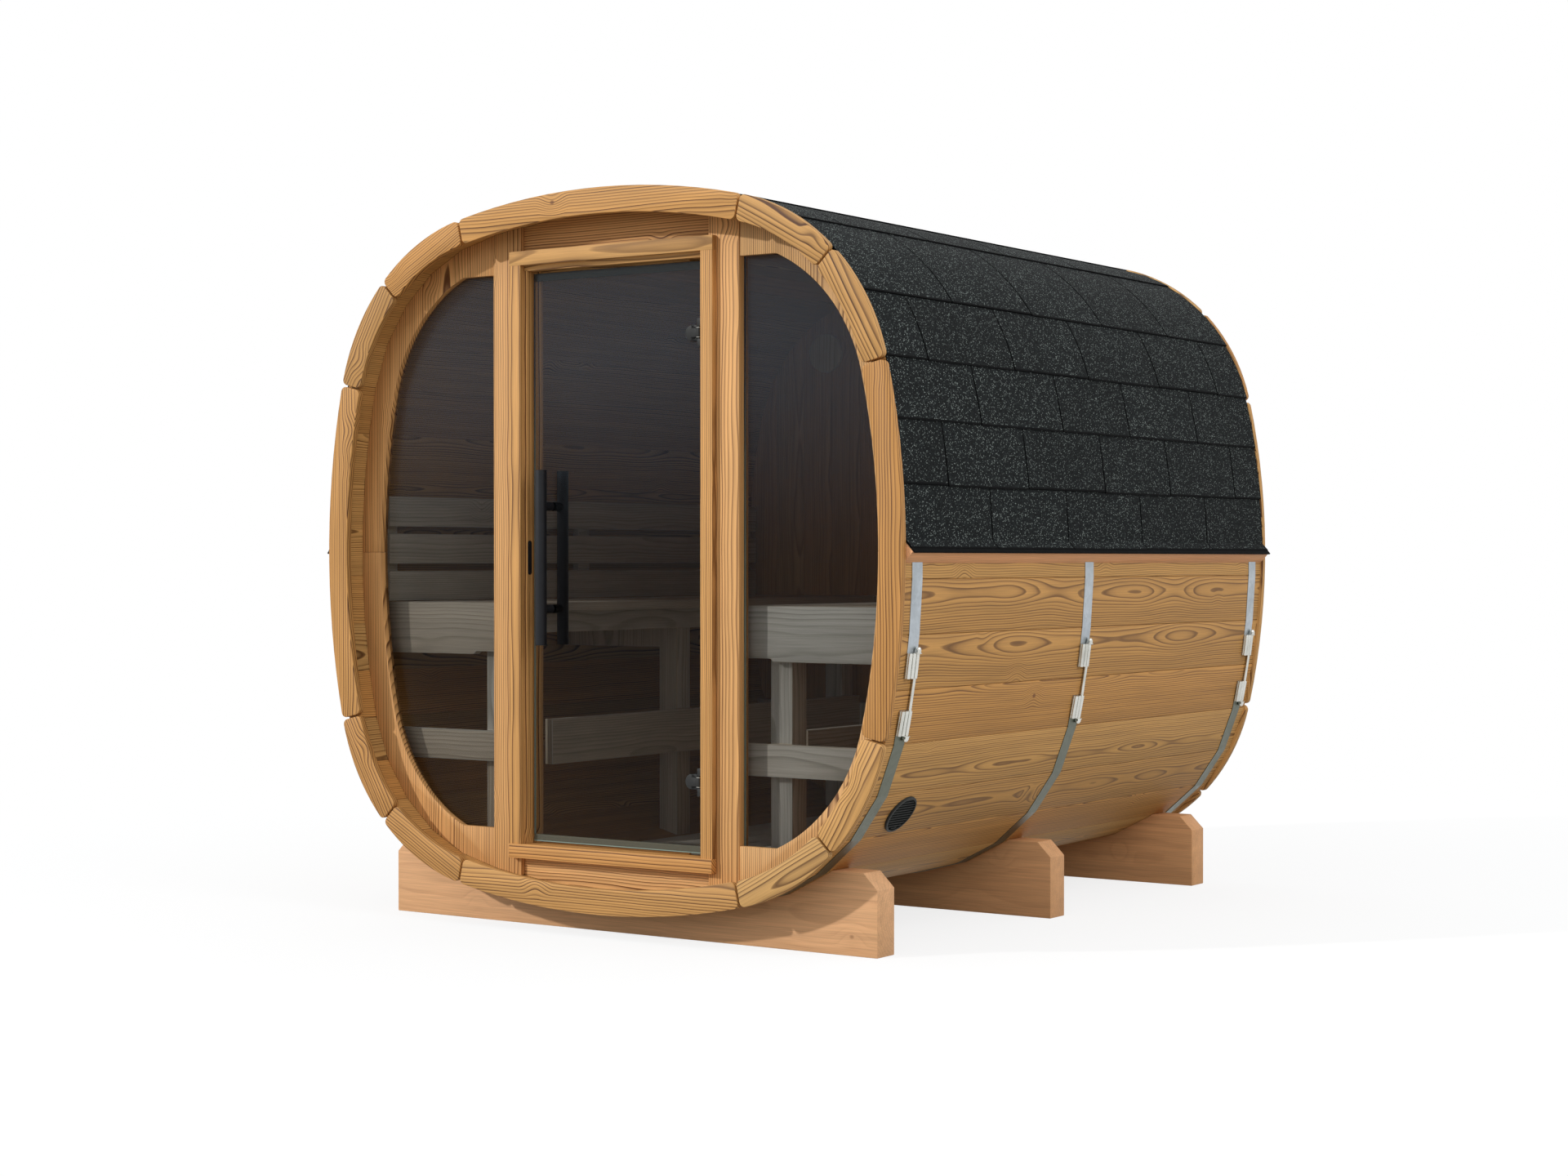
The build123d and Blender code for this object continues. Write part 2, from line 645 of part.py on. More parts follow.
with BuildPart() as shingles_left:
    with BuildSketch(section_plane(RING_THICKNESS + SKIN_GAP)):
        polygon_face(course_points(-1))
    extrude(amount=-skin_length)
shingles_left.part.label = "shingles_left"
export_step(shingles_left.part, "parts/shingles_left.step")

ridge_steps = 2 * round(RIDGE_HALF / COURSE_STEP)
ridge_runs = [RIDGE_HALF * (2 * k / ridge_steps - 1) for k in range(ridge_steps + 1)]
with BuildPart() as shingle_ridge:
    with BuildSketch(section_plane(RING_THICKNESS + SKIN_GAP)):
        polygon_face(
            [outline_point(run_angle(run), SHINGLE_BUTT_INSET) for run in ridge_runs]
            + [outline_point(run_angle(run), SHINGLE_BASE_INSET) for run in ridge_runs[::-1]]
        )
    extrude(amount=-skin_length)
shingle_ridge.part.label = "shingle_ridge"
export_step(shingle_ridge.part, "parts/shingle_ridge.step")


def window_face(side, lap, mode=Mode.ADD):
    """Adds a window opening beside a post to the sketch being built: its outer edge follows the barrel."""
    with BuildSketch(mode=Mode.PRIVATE) as opening:
        outline_face(WINDOW_INSET - lap)
        box_face(-RING_HALF, -POST_OUTER, -WINDOW_END - lap, WINDOW_END + lap, mode=Mode.INTERSECT)
        outer_corners = opening.vertices().filter_by_position(Axis.X, -RING_HALF, -POST_OUTER, (True, False))
        ends = outer_corners.group_by(Axis.Y)
        fillet([ends[0][0], ends[-1][0]], WINDOW_CORNER + lap)
        if side > 0:
            mirror(about=Plane.YZ, mode=Mode.REPLACE)
    add(opening.sketch, mode=mode)


def front_panel(side):
    """Adds one window surround to the part being built, rebated behind for its glass."""
    with BuildSketch(section_plane(PANEL_FACE), mode=Mode.PRIVATE) as board:
        if side < 0:
            room_strip(-RING_HALF, -POST_OUTER, -RING_HALF, RING_HALF)
        else:
            room_strip(POST_OUTER, RING_HALF, -RING_HALF, RING_HALF)
        window_face(side, 0.0, mode=Mode.SUBTRACT)
    extrude(board.sketch, amount=PANEL_SETBACK - WALL_THICKNESS)
    with BuildSketch(section_plane(PANEL_FACE + GLASS_SETBACK), mode=Mode.PRIVATE) as rebate:
        window_face(side, GLASS_LAP)
    extrude(rebate.sketch, amount=-WALL_THICKNESS, mode=Mode.SUBTRACT)


with BuildPart() as front_panel_left:
    front_panel(-1)
front_panel_left.part.label = "front_panel_left"
export_step(front_panel_left.part, "parts/front_panel_left.step")

with BuildPart() as front_panel_right:
    front_panel(1)
front_panel_right.part.label = "front_panel_right"
export_step(front_panel_right.part, "parts/front_panel_right.step")


def front_glass(side):
    """Adds one window pane, clear of its rebate and its post, to the part being built."""
    with BuildSketch(section_plane(PANEL_FACE + GLASS_SETBACK), mode=Mode.PRIVATE) as pane:
        window_face(side, GLASS_LAP - GLASS_PLAY)
        near = POST_OUTER + GLASS_PLAY
        if side < 0:
            box_face(-RING_HALF, -near, -RING_HALF, RING_HALF, mode=Mode.INTERSECT)
        else:
            box_face(near, RING_HALF, -RING_HALF, RING_HALF, mode=Mode.INTERSECT)
    extrude(pane.sketch, amount=-GLASS_THICKNESS)


with BuildPart() as front_glass_left:
    front_glass(-1)
front_glass_left.part.label = "front_glass_left"
export_step(front_glass_left.part, "parts/front_glass_left.step")

with BuildPart() as front_glass_right:
    front_glass(1)
front_glass_right.part.label = "front_glass_right"
export_step(front_glass_right.part, "parts/front_glass_right.step")

with BuildPart() as front_post_left:
    with BuildSketch(section_plane(WALL_RECESS)):
        room_strip(-POST_OUTER, -POST_INNER, -RING_HALF, RING_HALF)
    extrude(amount=-WALL_THICKNESS)
front_post_left.part.label = "front_post_left"
export_step(front_post_left.part, "parts/front_post_left.step")

with BuildPart() as front_post_right:
    with BuildSketch(section_plane(WALL_RECESS)):
        room_strip(POST_INNER, POST_OUTER, -RING_HALF, RING_HALF)
    extrude(amount=-WALL_THICKNESS)
front_post_right.part.label = "front_post_right"
export_step(front_post_right.part, "parts/front_post_right.step")

with BuildPart() as front_header:
    with BuildSketch(section_plane(WALL_RECESS + INFILL_SETBACK)):
        room_strip(-POST_INNER, POST_INNER, HEADER_BOTTOM, RING_HALF)
    extrude(amount=-INFILL_THICKNESS)
front_header.part.label = "front_header"
export_step(front_header.part, "parts/front_header.step")

with BuildPart() as front_apron:
    with BuildSketch(section_plane(WALL_RECESS + INFILL_SETBACK)):
        room_strip(-POST_INNER, POST_INNER, -RING_HALF, -APRON_TOP)
    extrude(amount=-INFILL_THICKNESS)
front_apron.part.label = "front_apron"
export_step(front_apron.part, "parts/front_apron.step")

# Door frame: casings on the posts, linings stepping into the opening, stops behind the glass
lining_depth = FRAME_BACK - LINING_FACE
with BuildPart() as door_jamb_left:
    with BuildSketch(section_plane(CASING_FACE)):
        box_face(-CASING_OUTER, -CASING_INNER, -SILL_TOP, HEAD_CASING_BOTTOM)
    extrude(amount=-CASING_PROUD)
    with BuildSketch(section_plane(WALL_RECESS)):
        box_face(-POST_INNER, -CASING_INNER, -SILL_TOP, HEAD_LINING_BOTTOM)
    extrude(amount=-LINING_STEP)
    with BuildSketch(section_plane(LINING_FACE)):
        box_face(-POST_INNER, -LINING_OPENING, -SILL_TOP, HEAD_LINING_BOTTOM)
    extrude(amount=-lining_depth)
    with BuildSketch(section_plane(STOP_FACE)):
        box_face(-LINING_OPENING, STOP_WIDTH - LINING_OPENING, -SILL_TOP, HEAD_LINING_BOTTOM)
    extrude(amount=-STOP_THICKNESS)
door_jamb_left.part.label = "door_jamb_left"
export_step(door_jamb_left.part, "parts/door_jamb_left.step")

with BuildPart() as door_jamb_right:
    with BuildSketch(section_plane(CASING_FACE)):
        box_face(CASING_INNER, CASING_OUTER, -SILL_TOP, HEAD_CASING_BOTTOM)
    extrude(amount=-CASING_PROUD)
    with BuildSketch(section_plane(WALL_RECESS)):
        box_face(CASING_INNER, POST_INNER, -SILL_TOP, HEAD_LINING_BOTTOM)
    extrude(amount=-LINING_STEP)
    with BuildSketch(section_plane(LINING_FACE)):
        box_face(LINING_OPENING, POST_INNER, -SILL_TOP, HEAD_LINING_BOTTOM)
    extrude(amount=-lining_depth)
door_jamb_right.part.label = "door_jamb_right"
export_step(door_jamb_right.part, "parts/door_jamb_right.step")

with BuildPart() as door_frame_head:
    with BuildSketch(section_plane(CASING_FACE)):
        box_face(-CASING_OUTER, CASING_OUTER, HEAD_CASING_BOTTOM, HEAD_CASING_BOTTOM + HEAD_CASING_HEIGHT)
    extrude(amount=-CASING_PROUD)
    with BuildSketch(section_plane(WALL_RECESS)):
        box_face(-POST_INNER, POST_INNER, HEAD_CASING_BOTTOM, HEADER_BOTTOM)
    extrude(amount=-LINING_STEP)
    with BuildSketch(section_plane(LINING_FACE)):
        box_face(-POST_INNER, POST_INNER, HEAD_LINING_BOTTOM, HEADER_BOTTOM)
    extrude(amount=-lining_depth)
    with BuildSketch(section_plane(STOP_FACE)):
        box_face(STOP_WIDTH - LINING_OPENING, STOP_END, HEAD_LINING_BOTTOM - STOP_WIDTH, HEAD_LINING_BOTTOM)
    extrude(amount=-STOP_THICKNESS)
door_frame_head.part.label = "door_frame_head"
export_step(door_frame_head.part, "parts/door_frame_head.step")

with BuildPart() as door_frame_sill:
    with BuildSketch(section_plane(CASING_FACE - SILL_NOSE)):
        box_face(-CASING_OUTER, CASING_OUTER, -APRON_TOP, -SILL_TOP)
    extrude(amount=-CASING_PROUD - SILL_NOSE)
    with BuildSketch(section_plane(WALL_RECESS)):
        box_face(-POST_INNER, POST_INNER, -APRON_TOP, -SILL_TOP)
    extrude(amount=WALL_RECESS - FRAME_BACK)
    with BuildSketch(section_plane(STOP_FACE)):
        box_face(STOP_WIDTH - LINING_OPENING, STOP_END, -SILL_TOP, STOP_WIDTH - SILL_TOP)
    extrude(amount=-STOP_THICKNESS)
door_frame_sill.part.label = "door_frame_sill"
export_step(door_frame_sill.part, "parts/door_frame_sill.step")

# Door leaf: frameless glass, hinge discs on both faces, a pull bar each side
with BuildPart() as door_glass:
    with BuildSketch(section_plane(DOOR_FACE)):
        box_face(-DOOR_HALF, DOOR_HALF, -DOOR_BOTTOM, DOOR_TOP)
    extrude(amount=-GLASS_THICKNESS)
door_glass.part.label = "door_glass"
export_step(door_glass.part, "parts/door_glass.step")

disc_x = DOOR_HALF - HINGE_DISC_INSET
axis_x = DOOR_HALF - HINGE_AXIS_INSET
axis_depth = DOOR_FACE - HINGE_AXIS_FRONT
hinge_heights = (DOOR_MIDDLE - HINGE_HALF_SPACING, DOOR_MIDDLE + HINGE_HALF_SPACING)


def pin_plane(height):
    """Level plane on the hinge axis at a height from the barrel's axis."""
    return Plane(origin=(axis_x, axis_depth - HALF_LENGTH, AXIS_HEIGHT + height))


with BuildPart() as door_hinge_leaves:
    for depth in (DOOR_FACE - HINGE_DISC_THICKNESS, DOOR_BACK):
        with BuildSketch(section_plane(depth)):
            with Locations(*[(disc_x, height) for height in hinge_heights]):
                Circle(HINGE_DISC_RADIUS)
        extrude(amount=-HINGE_DISC_THICKNESS)
    with BuildSketch(section_plane(axis_depth)):
        for height in hinge_heights:
            box_face(disc_x, axis_x, height - KNUCKLE_HALF, height + KNUCKLE_HALF)
    extrude(amount=-HINGE_AXIS_FRONT)
    for height in hinge_heights:
        with BuildSketch(pin_plane(height - KNUCKLE_HALF)):
            Circle(KNUCKLE_RADIUS)
        extrude(amount=2 * KNUCKLE_HALF)
        with BuildSketch(pin_plane(height - KNUCKLE_HALF)):
            Circle(PIN_RADIUS + PIN_PLAY)
        extrude(amount=2 * KNUCKLE_HALF, mode=Mode.SUBTRACT)
door_hinge_leaves.part.label = "door_hinge_leaves"
export_step(door_hinge_leaves.part, "parts/door_hinge_leaves.step")

lug_depth = 2 * PIN_RADIUS + HINGE_LUG_PLAY
with BuildPart() as hinge_pins:
    with BuildSketch(section_plane(axis_depth - PIN_RADIUS)):
        for height in hinge_heights:
            left = axis_x - PIN_RADIUS
            box_face(left, LINING_OPENING, height + HINGE_LUG_START, height + HINGE_HALF_HEIGHT)
            box_face(left, LINING_OPENING, height - HINGE_HALF_HEIGHT, height - HINGE_LUG_START)
    extrude(amount=-lug_depth)
    for height in hinge_heights:
        with BuildSketch(pin_plane(height - HINGE_HALF_HEIGHT)):
            Circle(PIN_RADIUS)
        extrude(amount=2 * HINGE_HALF_HEIGHT)
hinge_pins.part.label = "hinge_pins"
export_step(hinge_pins.part, "parts/hinge_pins.step")

handle_x = HANDLE_INSET - DOOR_HALF
glass_middle = DOOR_FACE + GLASS_THICKNESS / 2
post_reach = HANDLE_REACH - GLASS_THICKNESS / 2
with BuildPart() as door_handle:
    for reach in (-HANDLE_REACH, HANDLE_REACH):
        bar_y = glass_middle + reach - HALF_LENGTH
        bar_low = AXIS_HEIGHT + DOOR_MIDDLE - HANDLE_HALF
        with BuildSketch(Plane(origin=(handle_x, bar_y, bar_low))):
            Circle(HANDLE_RADIUS)
        extrude(amount=2 * HANDLE_HALF)
    for depth in (DOOR_FACE - post_reach, DOOR_BACK):
        with BuildSketch(section_plane(depth)):
            with Locations(
                (handle_x, DOOR_MIDDLE - HANDLE_POST_HALF), (handle_x, DOOR_MIDDLE + HANDLE_POST_HALF)
            ):
                Circle(HANDLE_POST_RADIUS)
        extrude(amount=-post_reach)
door_handle.part.label = "door_handle"
export_step(door_handle.part, "parts/door_handle.step")

strike_front = (LINING_FACE + DOOR_FACE - STRIKE_WIDTH) / 2
with BuildPart() as strike_plate:
    strike_y = strike_front + STRIKE_WIDTH / 2 - HALF_LENGTH
    strike_origin = (-LINING_OPENING, strike_y, AXIS_HEIGHT + DOOR_MIDDLE)
    with BuildSketch(Plane(origin=strike_origin, x_dir=(0, 1, 0), z_dir=(1, 0, 0))):
        SlotOverall(STRIKE_HEIGHT, STRIKE_WIDTH, rotation=QUARTER_ANGLE)
    extrude(amount=STRIKE_THICKNESS)
strike_plate.part.label = "strike_plate"
export_step(strike_plate.part, "parts/strike_plate.step")

# Back wall with its vent high in the left corner
back_vent_point = outline_point(-BACK_VENT_LEAN_ANGLE, BACK_VENT_INSET)
with BuildPart() as back_wall:
    with BuildSketch(section_plane(BACK_WALL_INNER)):
        polygon_face(ROOM_OUTLINE)
        with Locations(back_vent_point):
            Circle(BACK_VENT_BORE, mode=Mode.SUBTRACT)
    extrude(amount=-BACK_WALL_THICKNESS)
back_wall.part.label = "back_wall"
export_step(back_wall.part, "parts/back_wall.step")

with BuildPart() as back_vent:
    for depth in (BACK_WALL_INNER - BACK_VENT_THICKNESS, BACK_WALL_OUTER):
        with BuildSketch(section_plane(depth)):
            with Locations(back_vent_point):
                Circle(BACK_VENT_RADIUS)
        extrude(amount=-BACK_VENT_THICKNESS)
back_vent.part.label = "back_vent"
export_step(back_vent.part, "parts/back_vent.step")

vent_a = STAVE_OUTER[AIR_VENT_STAVE_INDEX]
vent_b = STAVE_OUTER[AIR_VENT_STAVE_INDEX + 1]
vent_x = (vent_a[0] + vent_b[0]) / 2
vent_z = (vent_a[1] + vent_b[1]) / 2
with BuildPart() as air_vent:
    vent_origin = (vent_x, AIR_VENT_SETBACK - HALF_LENGTH, AXIS_HEIGHT + vent_z)
    vent_out = (vent_a[1] - vent_b[1], 0, vent_b[0] - vent_a[0])
    with BuildSketch(Plane(origin=vent_origin, x_dir=(0, 1, 0), z_dir=vent_out)):
        Circle(AIR_VENT_RADIUS)
    extrude(amount=AIR_VENT_THICKNESS)
air_vent.part.label = "air_vent"
export_step(air_vent.part, "parts/air_vent.step")

# Floor grating: lengthwise slats on joists cut to the staves
floor_front = WALL_BACK + FLOOR_END_GAP
floor_length = BACK_WALL_INNER - FLOOR_END_GAP - floor_front
floor_pitch = (2 * FLOOR_HALF + FLOOR_SLAT_GAP) / FLOOR_SLATS
joist_span = floor_length - FLOOR_JOIST_WIDTH
with BuildPart() as floor_grating:
    with BuildSketch(section_plane(floor_front)):
        for i in range(FLOOR_SLATS):
            left = i * floor_pitch - FLOOR_HALF
            box_face(left, left + floor_pitch - FLOOR_SLAT_GAP, -FLOOR_UNDER, -FLOOR_TOP)
        polygon_face(ROOM_OUTLINE, mode=Mode.INTERSECT)
    extrude(amount=-floor_length)
    for i in range(FLOOR_JOIST_COUNT):
        with BuildSketch(section_plane(floor_front + joist_span * i / (FLOOR_JOIST_COUNT - 1))):
            room_strip(-FLOOR_HALF, FLOOR_HALF, -RING_HALF, -FLOOR_UNDER)
        extrude(amount=-FLOOR_JOIST_WIDTH)
floor_grating.part.label = "floor_grating"
export_step(floor_grating.part, "parts/floor_grating.step")


def bench_strip(side, near, far, low, high):
    """Adds a bench piece's section, mirrored to a side and cut to the staves, to the sketch being built."""
    if side < 0:
        room_strip(-far, -near, low, high)
    else:
        room_strip(near, far, low, high)


def end_board(side):
    """Adds the outline of a bench's end board, stepped up beside the aisle, to the sketch being built."""
    step_up = END_BOARD_NOTCH - END_BOARD_BOTTOM
    if side < 0:
        notch_end = NOTCH_END_LEFT
    else:
        notch_end = NOTCH_END_RIGHT
    bench_strip(side, AISLE_HALF, RING_HALF, -END_BOARD_BOTTOM, -BENCH_TOP)
    polygon_face(
        [
            (0.0, step_up),
            (side * (notch_end - END_BOARD_NOTCH), step_up),
            (side * notch_end, -END_BOARD_BOTTOM),
            (0.0, -END_BOARD_BOTTOM),
        ],
        mode=Mode.SUBTRACT,
    )


def bench_frame(side):
    """Adds one bench frame to the part being built: three trestles, end boards, a fascia and low rails."""
    for depth in (TRESTLE_FRONT, MID_LEG_FRONT, TRESTLE_BACK - LEG_SIZE):
        with BuildSketch(section_plane(depth), mode=Mode.PRIVATE) as strip:
            bench_strip(side, LEG_INNER, LEG_INNER + LEG_SIZE, -RING_HALF, -BENCH_UNDER)
        extrude(strip.sketch, amount=-LEG_SIZE)
    with BuildSketch(section_plane(MID_LEG_FRONT), mode=Mode.PRIVATE) as strip:
        bench_strip(side, LEG_INNER, RING_HALF, -MID_BEARER_BOTTOM, -BENCH_UNDER)
    extrude(strip.sketch, amount=-END_BOARD_THICKNESS)
    for depth in (BENCH_FRONT, TRESTLE_BACK):
        with BuildSketch(section_plane(depth), mode=Mode.PRIVATE) as strip:
            end_board(side)
        extrude(strip.sketch, amount=-END_BOARD_THICKNESS)
        with BuildSketch(section_plane(depth), mode=Mode.PRIVATE) as strip:
            low = -END_LOW_RAIL_TOP - END_LOW_RAIL_HEIGHT
            bench_strip(side, AISLE_HALF, RING_HALF, low, -END_LOW_RAIL_TOP)
        extrude(strip.sketch, amount=-END_BOARD_THICKNESS)
    for start, low, high in (
        (TRESTLE_FRONT, -FASCIA_BOTTOM, -BENCH_UNDER),
        (LOW_RAIL_FRONT, -LOW_RAIL_TOP - LOW_RAIL_HEIGHT, -LOW_RAIL_TOP),
    ):
        with BuildSketch(section_plane(start), mode=Mode.PRIVATE) as strip:
            bench_strip(side, LEG_INNER - FASCIA_THICKNESS, LEG_INNER, low, high)
        extrude(strip.sketch, amount=start - TRESTLE_BACK)


def bench_slats(side):
    """Adds the seat slats of one bench to the part being built."""
    pitch = (BENCH_OUTER - AISLE_HALF + BENCH_SLAT_GAP) / BENCH_SLATS
    with BuildSketch(section_plane(TRESTLE_FRONT + SLAT_END_PLAY), mode=Mode.PRIVATE) as strip:
        for i in range(BENCH_SLATS):
            near = AISLE_HALF + i * pitch
            far = near + pitch - BENCH_SLAT_GAP
            if side < 0:
                box_face(-far, -near, -BENCH_UNDER, -BENCH_TOP)
            else:
                box_face(near, far, -BENCH_UNDER, -BENCH_TOP)
    extrude(strip.sketch, amount=TRESTLE_FRONT - TRESTLE_BACK + 2 * SLAT_END_PLAY)


with BuildPart() as bench_frame_left:
    bench_frame(-1)
bench_frame_left.part.label = "bench_frame_left"
export_step(bench_frame_left.part, "parts/bench_frame_left.step")

with BuildPart() as bench_frame_right:
    bench_frame(1)
bench_frame_right.part.label = "bench_frame_right"
export_step(bench_frame_right.part, "parts/bench_frame_right.step")

with BuildPart() as bench_slats_left:
    bench_slats(-1)
bench_slats_left.part.label = "bench_slats_left"
export_step(bench_slats_left.part, "parts/bench_slats_left.step")

with BuildPart() as bench_slats_right:
    bench_slats(1)
bench_slats_right.part.label = "bench_slats_right"
export_step(bench_slats_right.part, "parts/bench_slats_right.step")

backrest_front = WALL_BACK + BACKREST_END_GAP
backrest_length = BACK_WALL_INNER - BACKREST_END_GAP - backrest_front
backrest_low = BACKREST_TOP - (BACKREST_SLATS - 1) * BACKREST_PITCH - BACKREST_SLAT_HEIGHT
backing = BACKREST_FACE + BACKREST_THICKNESS
batten_span = backrest_length - BACKREST_BATTEN_WIDTH
with BuildPart() as backrest_left:
    with BuildSketch(section_plane(backrest_front)):
        for i in range(BACKREST_SLATS):
            top = BACKREST_TOP - i * BACKREST_PITCH
            box_face(-backing, -BACKREST_FACE, top - BACKREST_SLAT_HEIGHT, top)
        polygon_face(ROOM_OUTLINE, mode=Mode.INTERSECT)
    extrude(amount=-backrest_length)
    for i in range(BACKREST_BATTEN_COUNT):
        with BuildSketch(section_plane(backrest_front + batten_span * i / (BACKREST_BATTEN_COUNT - 1))):
            room_strip(-RING_HALF, -backing, backrest_low, BACKREST_TOP)
        extrude(amount=-BACKREST_BATTEN_WIDTH)
backrest_left.part.label = "backrest_left"
export_step(backrest_left.part, "parts/backrest_left.step")
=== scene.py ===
"""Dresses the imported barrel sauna: grained boards, lapped shingles, steel hoops, tinted glass and a studio.

Metres, +Z up, the front at -Y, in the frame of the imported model.
"""

import json
import logging
import math
import random
from collections.abc import Callable, Iterable, Sequence
from dataclasses import dataclass, field
from enum import Enum

import bmesh
import bpy
import numpy as np
from mathutils import Matrix, Vector

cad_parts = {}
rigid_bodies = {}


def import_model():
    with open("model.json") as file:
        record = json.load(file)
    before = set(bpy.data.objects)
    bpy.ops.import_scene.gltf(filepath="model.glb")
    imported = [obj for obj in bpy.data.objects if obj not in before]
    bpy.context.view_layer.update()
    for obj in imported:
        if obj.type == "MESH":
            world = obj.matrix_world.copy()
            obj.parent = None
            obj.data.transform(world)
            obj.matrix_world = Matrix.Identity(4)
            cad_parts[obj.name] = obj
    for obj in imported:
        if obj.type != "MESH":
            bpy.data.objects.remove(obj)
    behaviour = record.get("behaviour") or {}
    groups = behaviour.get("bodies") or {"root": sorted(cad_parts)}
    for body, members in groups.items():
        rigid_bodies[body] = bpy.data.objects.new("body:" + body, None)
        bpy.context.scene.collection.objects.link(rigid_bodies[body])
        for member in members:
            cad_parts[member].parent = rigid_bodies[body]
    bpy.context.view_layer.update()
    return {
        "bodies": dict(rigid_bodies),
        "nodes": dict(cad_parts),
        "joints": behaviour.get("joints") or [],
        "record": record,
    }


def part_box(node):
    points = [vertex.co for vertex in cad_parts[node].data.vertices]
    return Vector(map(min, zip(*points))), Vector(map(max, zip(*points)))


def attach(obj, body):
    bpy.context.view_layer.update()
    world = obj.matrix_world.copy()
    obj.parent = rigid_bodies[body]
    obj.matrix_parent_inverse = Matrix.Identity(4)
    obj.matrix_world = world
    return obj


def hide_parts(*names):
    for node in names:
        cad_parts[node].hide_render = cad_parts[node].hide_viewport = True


LOG = logging.getLogger("barrel_sauna")
MERGE_DISTANCE = 1e-5
FLAT_ANGLE = math.radians(0.4)
SHARP_ANGLE = math.radians(32)
SQUARE_ANGLE = math.radians(60)
RIM_ANGLE = 1.0
ALIGNED = 0.99
TOUCHING = 1e-4
SQUARE_PLAY = 1e-6

Colour = tuple[float, float, float]
Triple = tuple[float, float, float]
Point = tuple[float, float]
Solid = bmesh.types.BMesh
Vert = bmesh.types.BMVert
Edge = bmesh.types.BMEdge
Face = bmesh.types.BMFace
WHITE = (1.0, 1.0, 1.0, 1.0)


def srgb(red: int, green: int, blue: int) -> Colour:
    """Linear colour of a display colour.

    Args:
        red: Red level, 0 to 255.
        green: Green level, 0 to 255.
        blue: Blue level, 0 to 255.

    Returns:
        The three levels as scene-linear shares.
    """
    shares = (level / 255 for level in (red, green, blue))
    linear = [share / 12.92 if share <= 0.04045 else ((share + 0.055) / 1.055) ** 2.4 for share in shares]
    return (linear[0], linear[1], linear[2])


def operator_method(operation: str, swapped: bool = False) -> Callable[["Shade", "Shade | float"], "Shade"]:
    """Method of a shade for one of Python's operators.

    Args:
        operation: Operation of the Math node that it adds.
        swapped: Whether the shade stands behind the operator.

    Returns:
        The method.
    """

    def method(shade: "Shade", other: "Shade | float") -> "Shade":
        """Adds the node."""
        return shade.graph.math(operation, *((other, shade) if swapped else (shade, other)))

    return method


class Shade:
    """One output of a shader node that can stand in Python sums."""

    def __init__(self, graph: "Graph", node: bpy.types.Node, output: int | str = 0) -> None:
        """Keeps the node and which of its outputs is meant."""
        self.graph = graph
        self.node = node
        self.output = output

    @property
    def socket(self) -> bpy.types.NodeSocket:
        """The output socket itself."""
        return self.node.outputs[self.output]

    def out(self, output: int | str) -> "Shade":
        """Another output of the same node."""
        return Shade(self.graph, self.node, output)

    __add__ = operator_method("ADD")
    __radd__ = operator_method("ADD", True)
    __sub__ = operator_method("SUBTRACT")
    __rsub__ = operator_method("SUBTRACT", True)
    __mul__ = operator_method("MULTIPLY")
    __rmul__ = operator_method("MULTIPLY", True)
    __truediv__ = operator_method("DIVIDE")
    __pow__ = operator_method("POWER")
    __lt__ = operator_method("LESS_THAN")


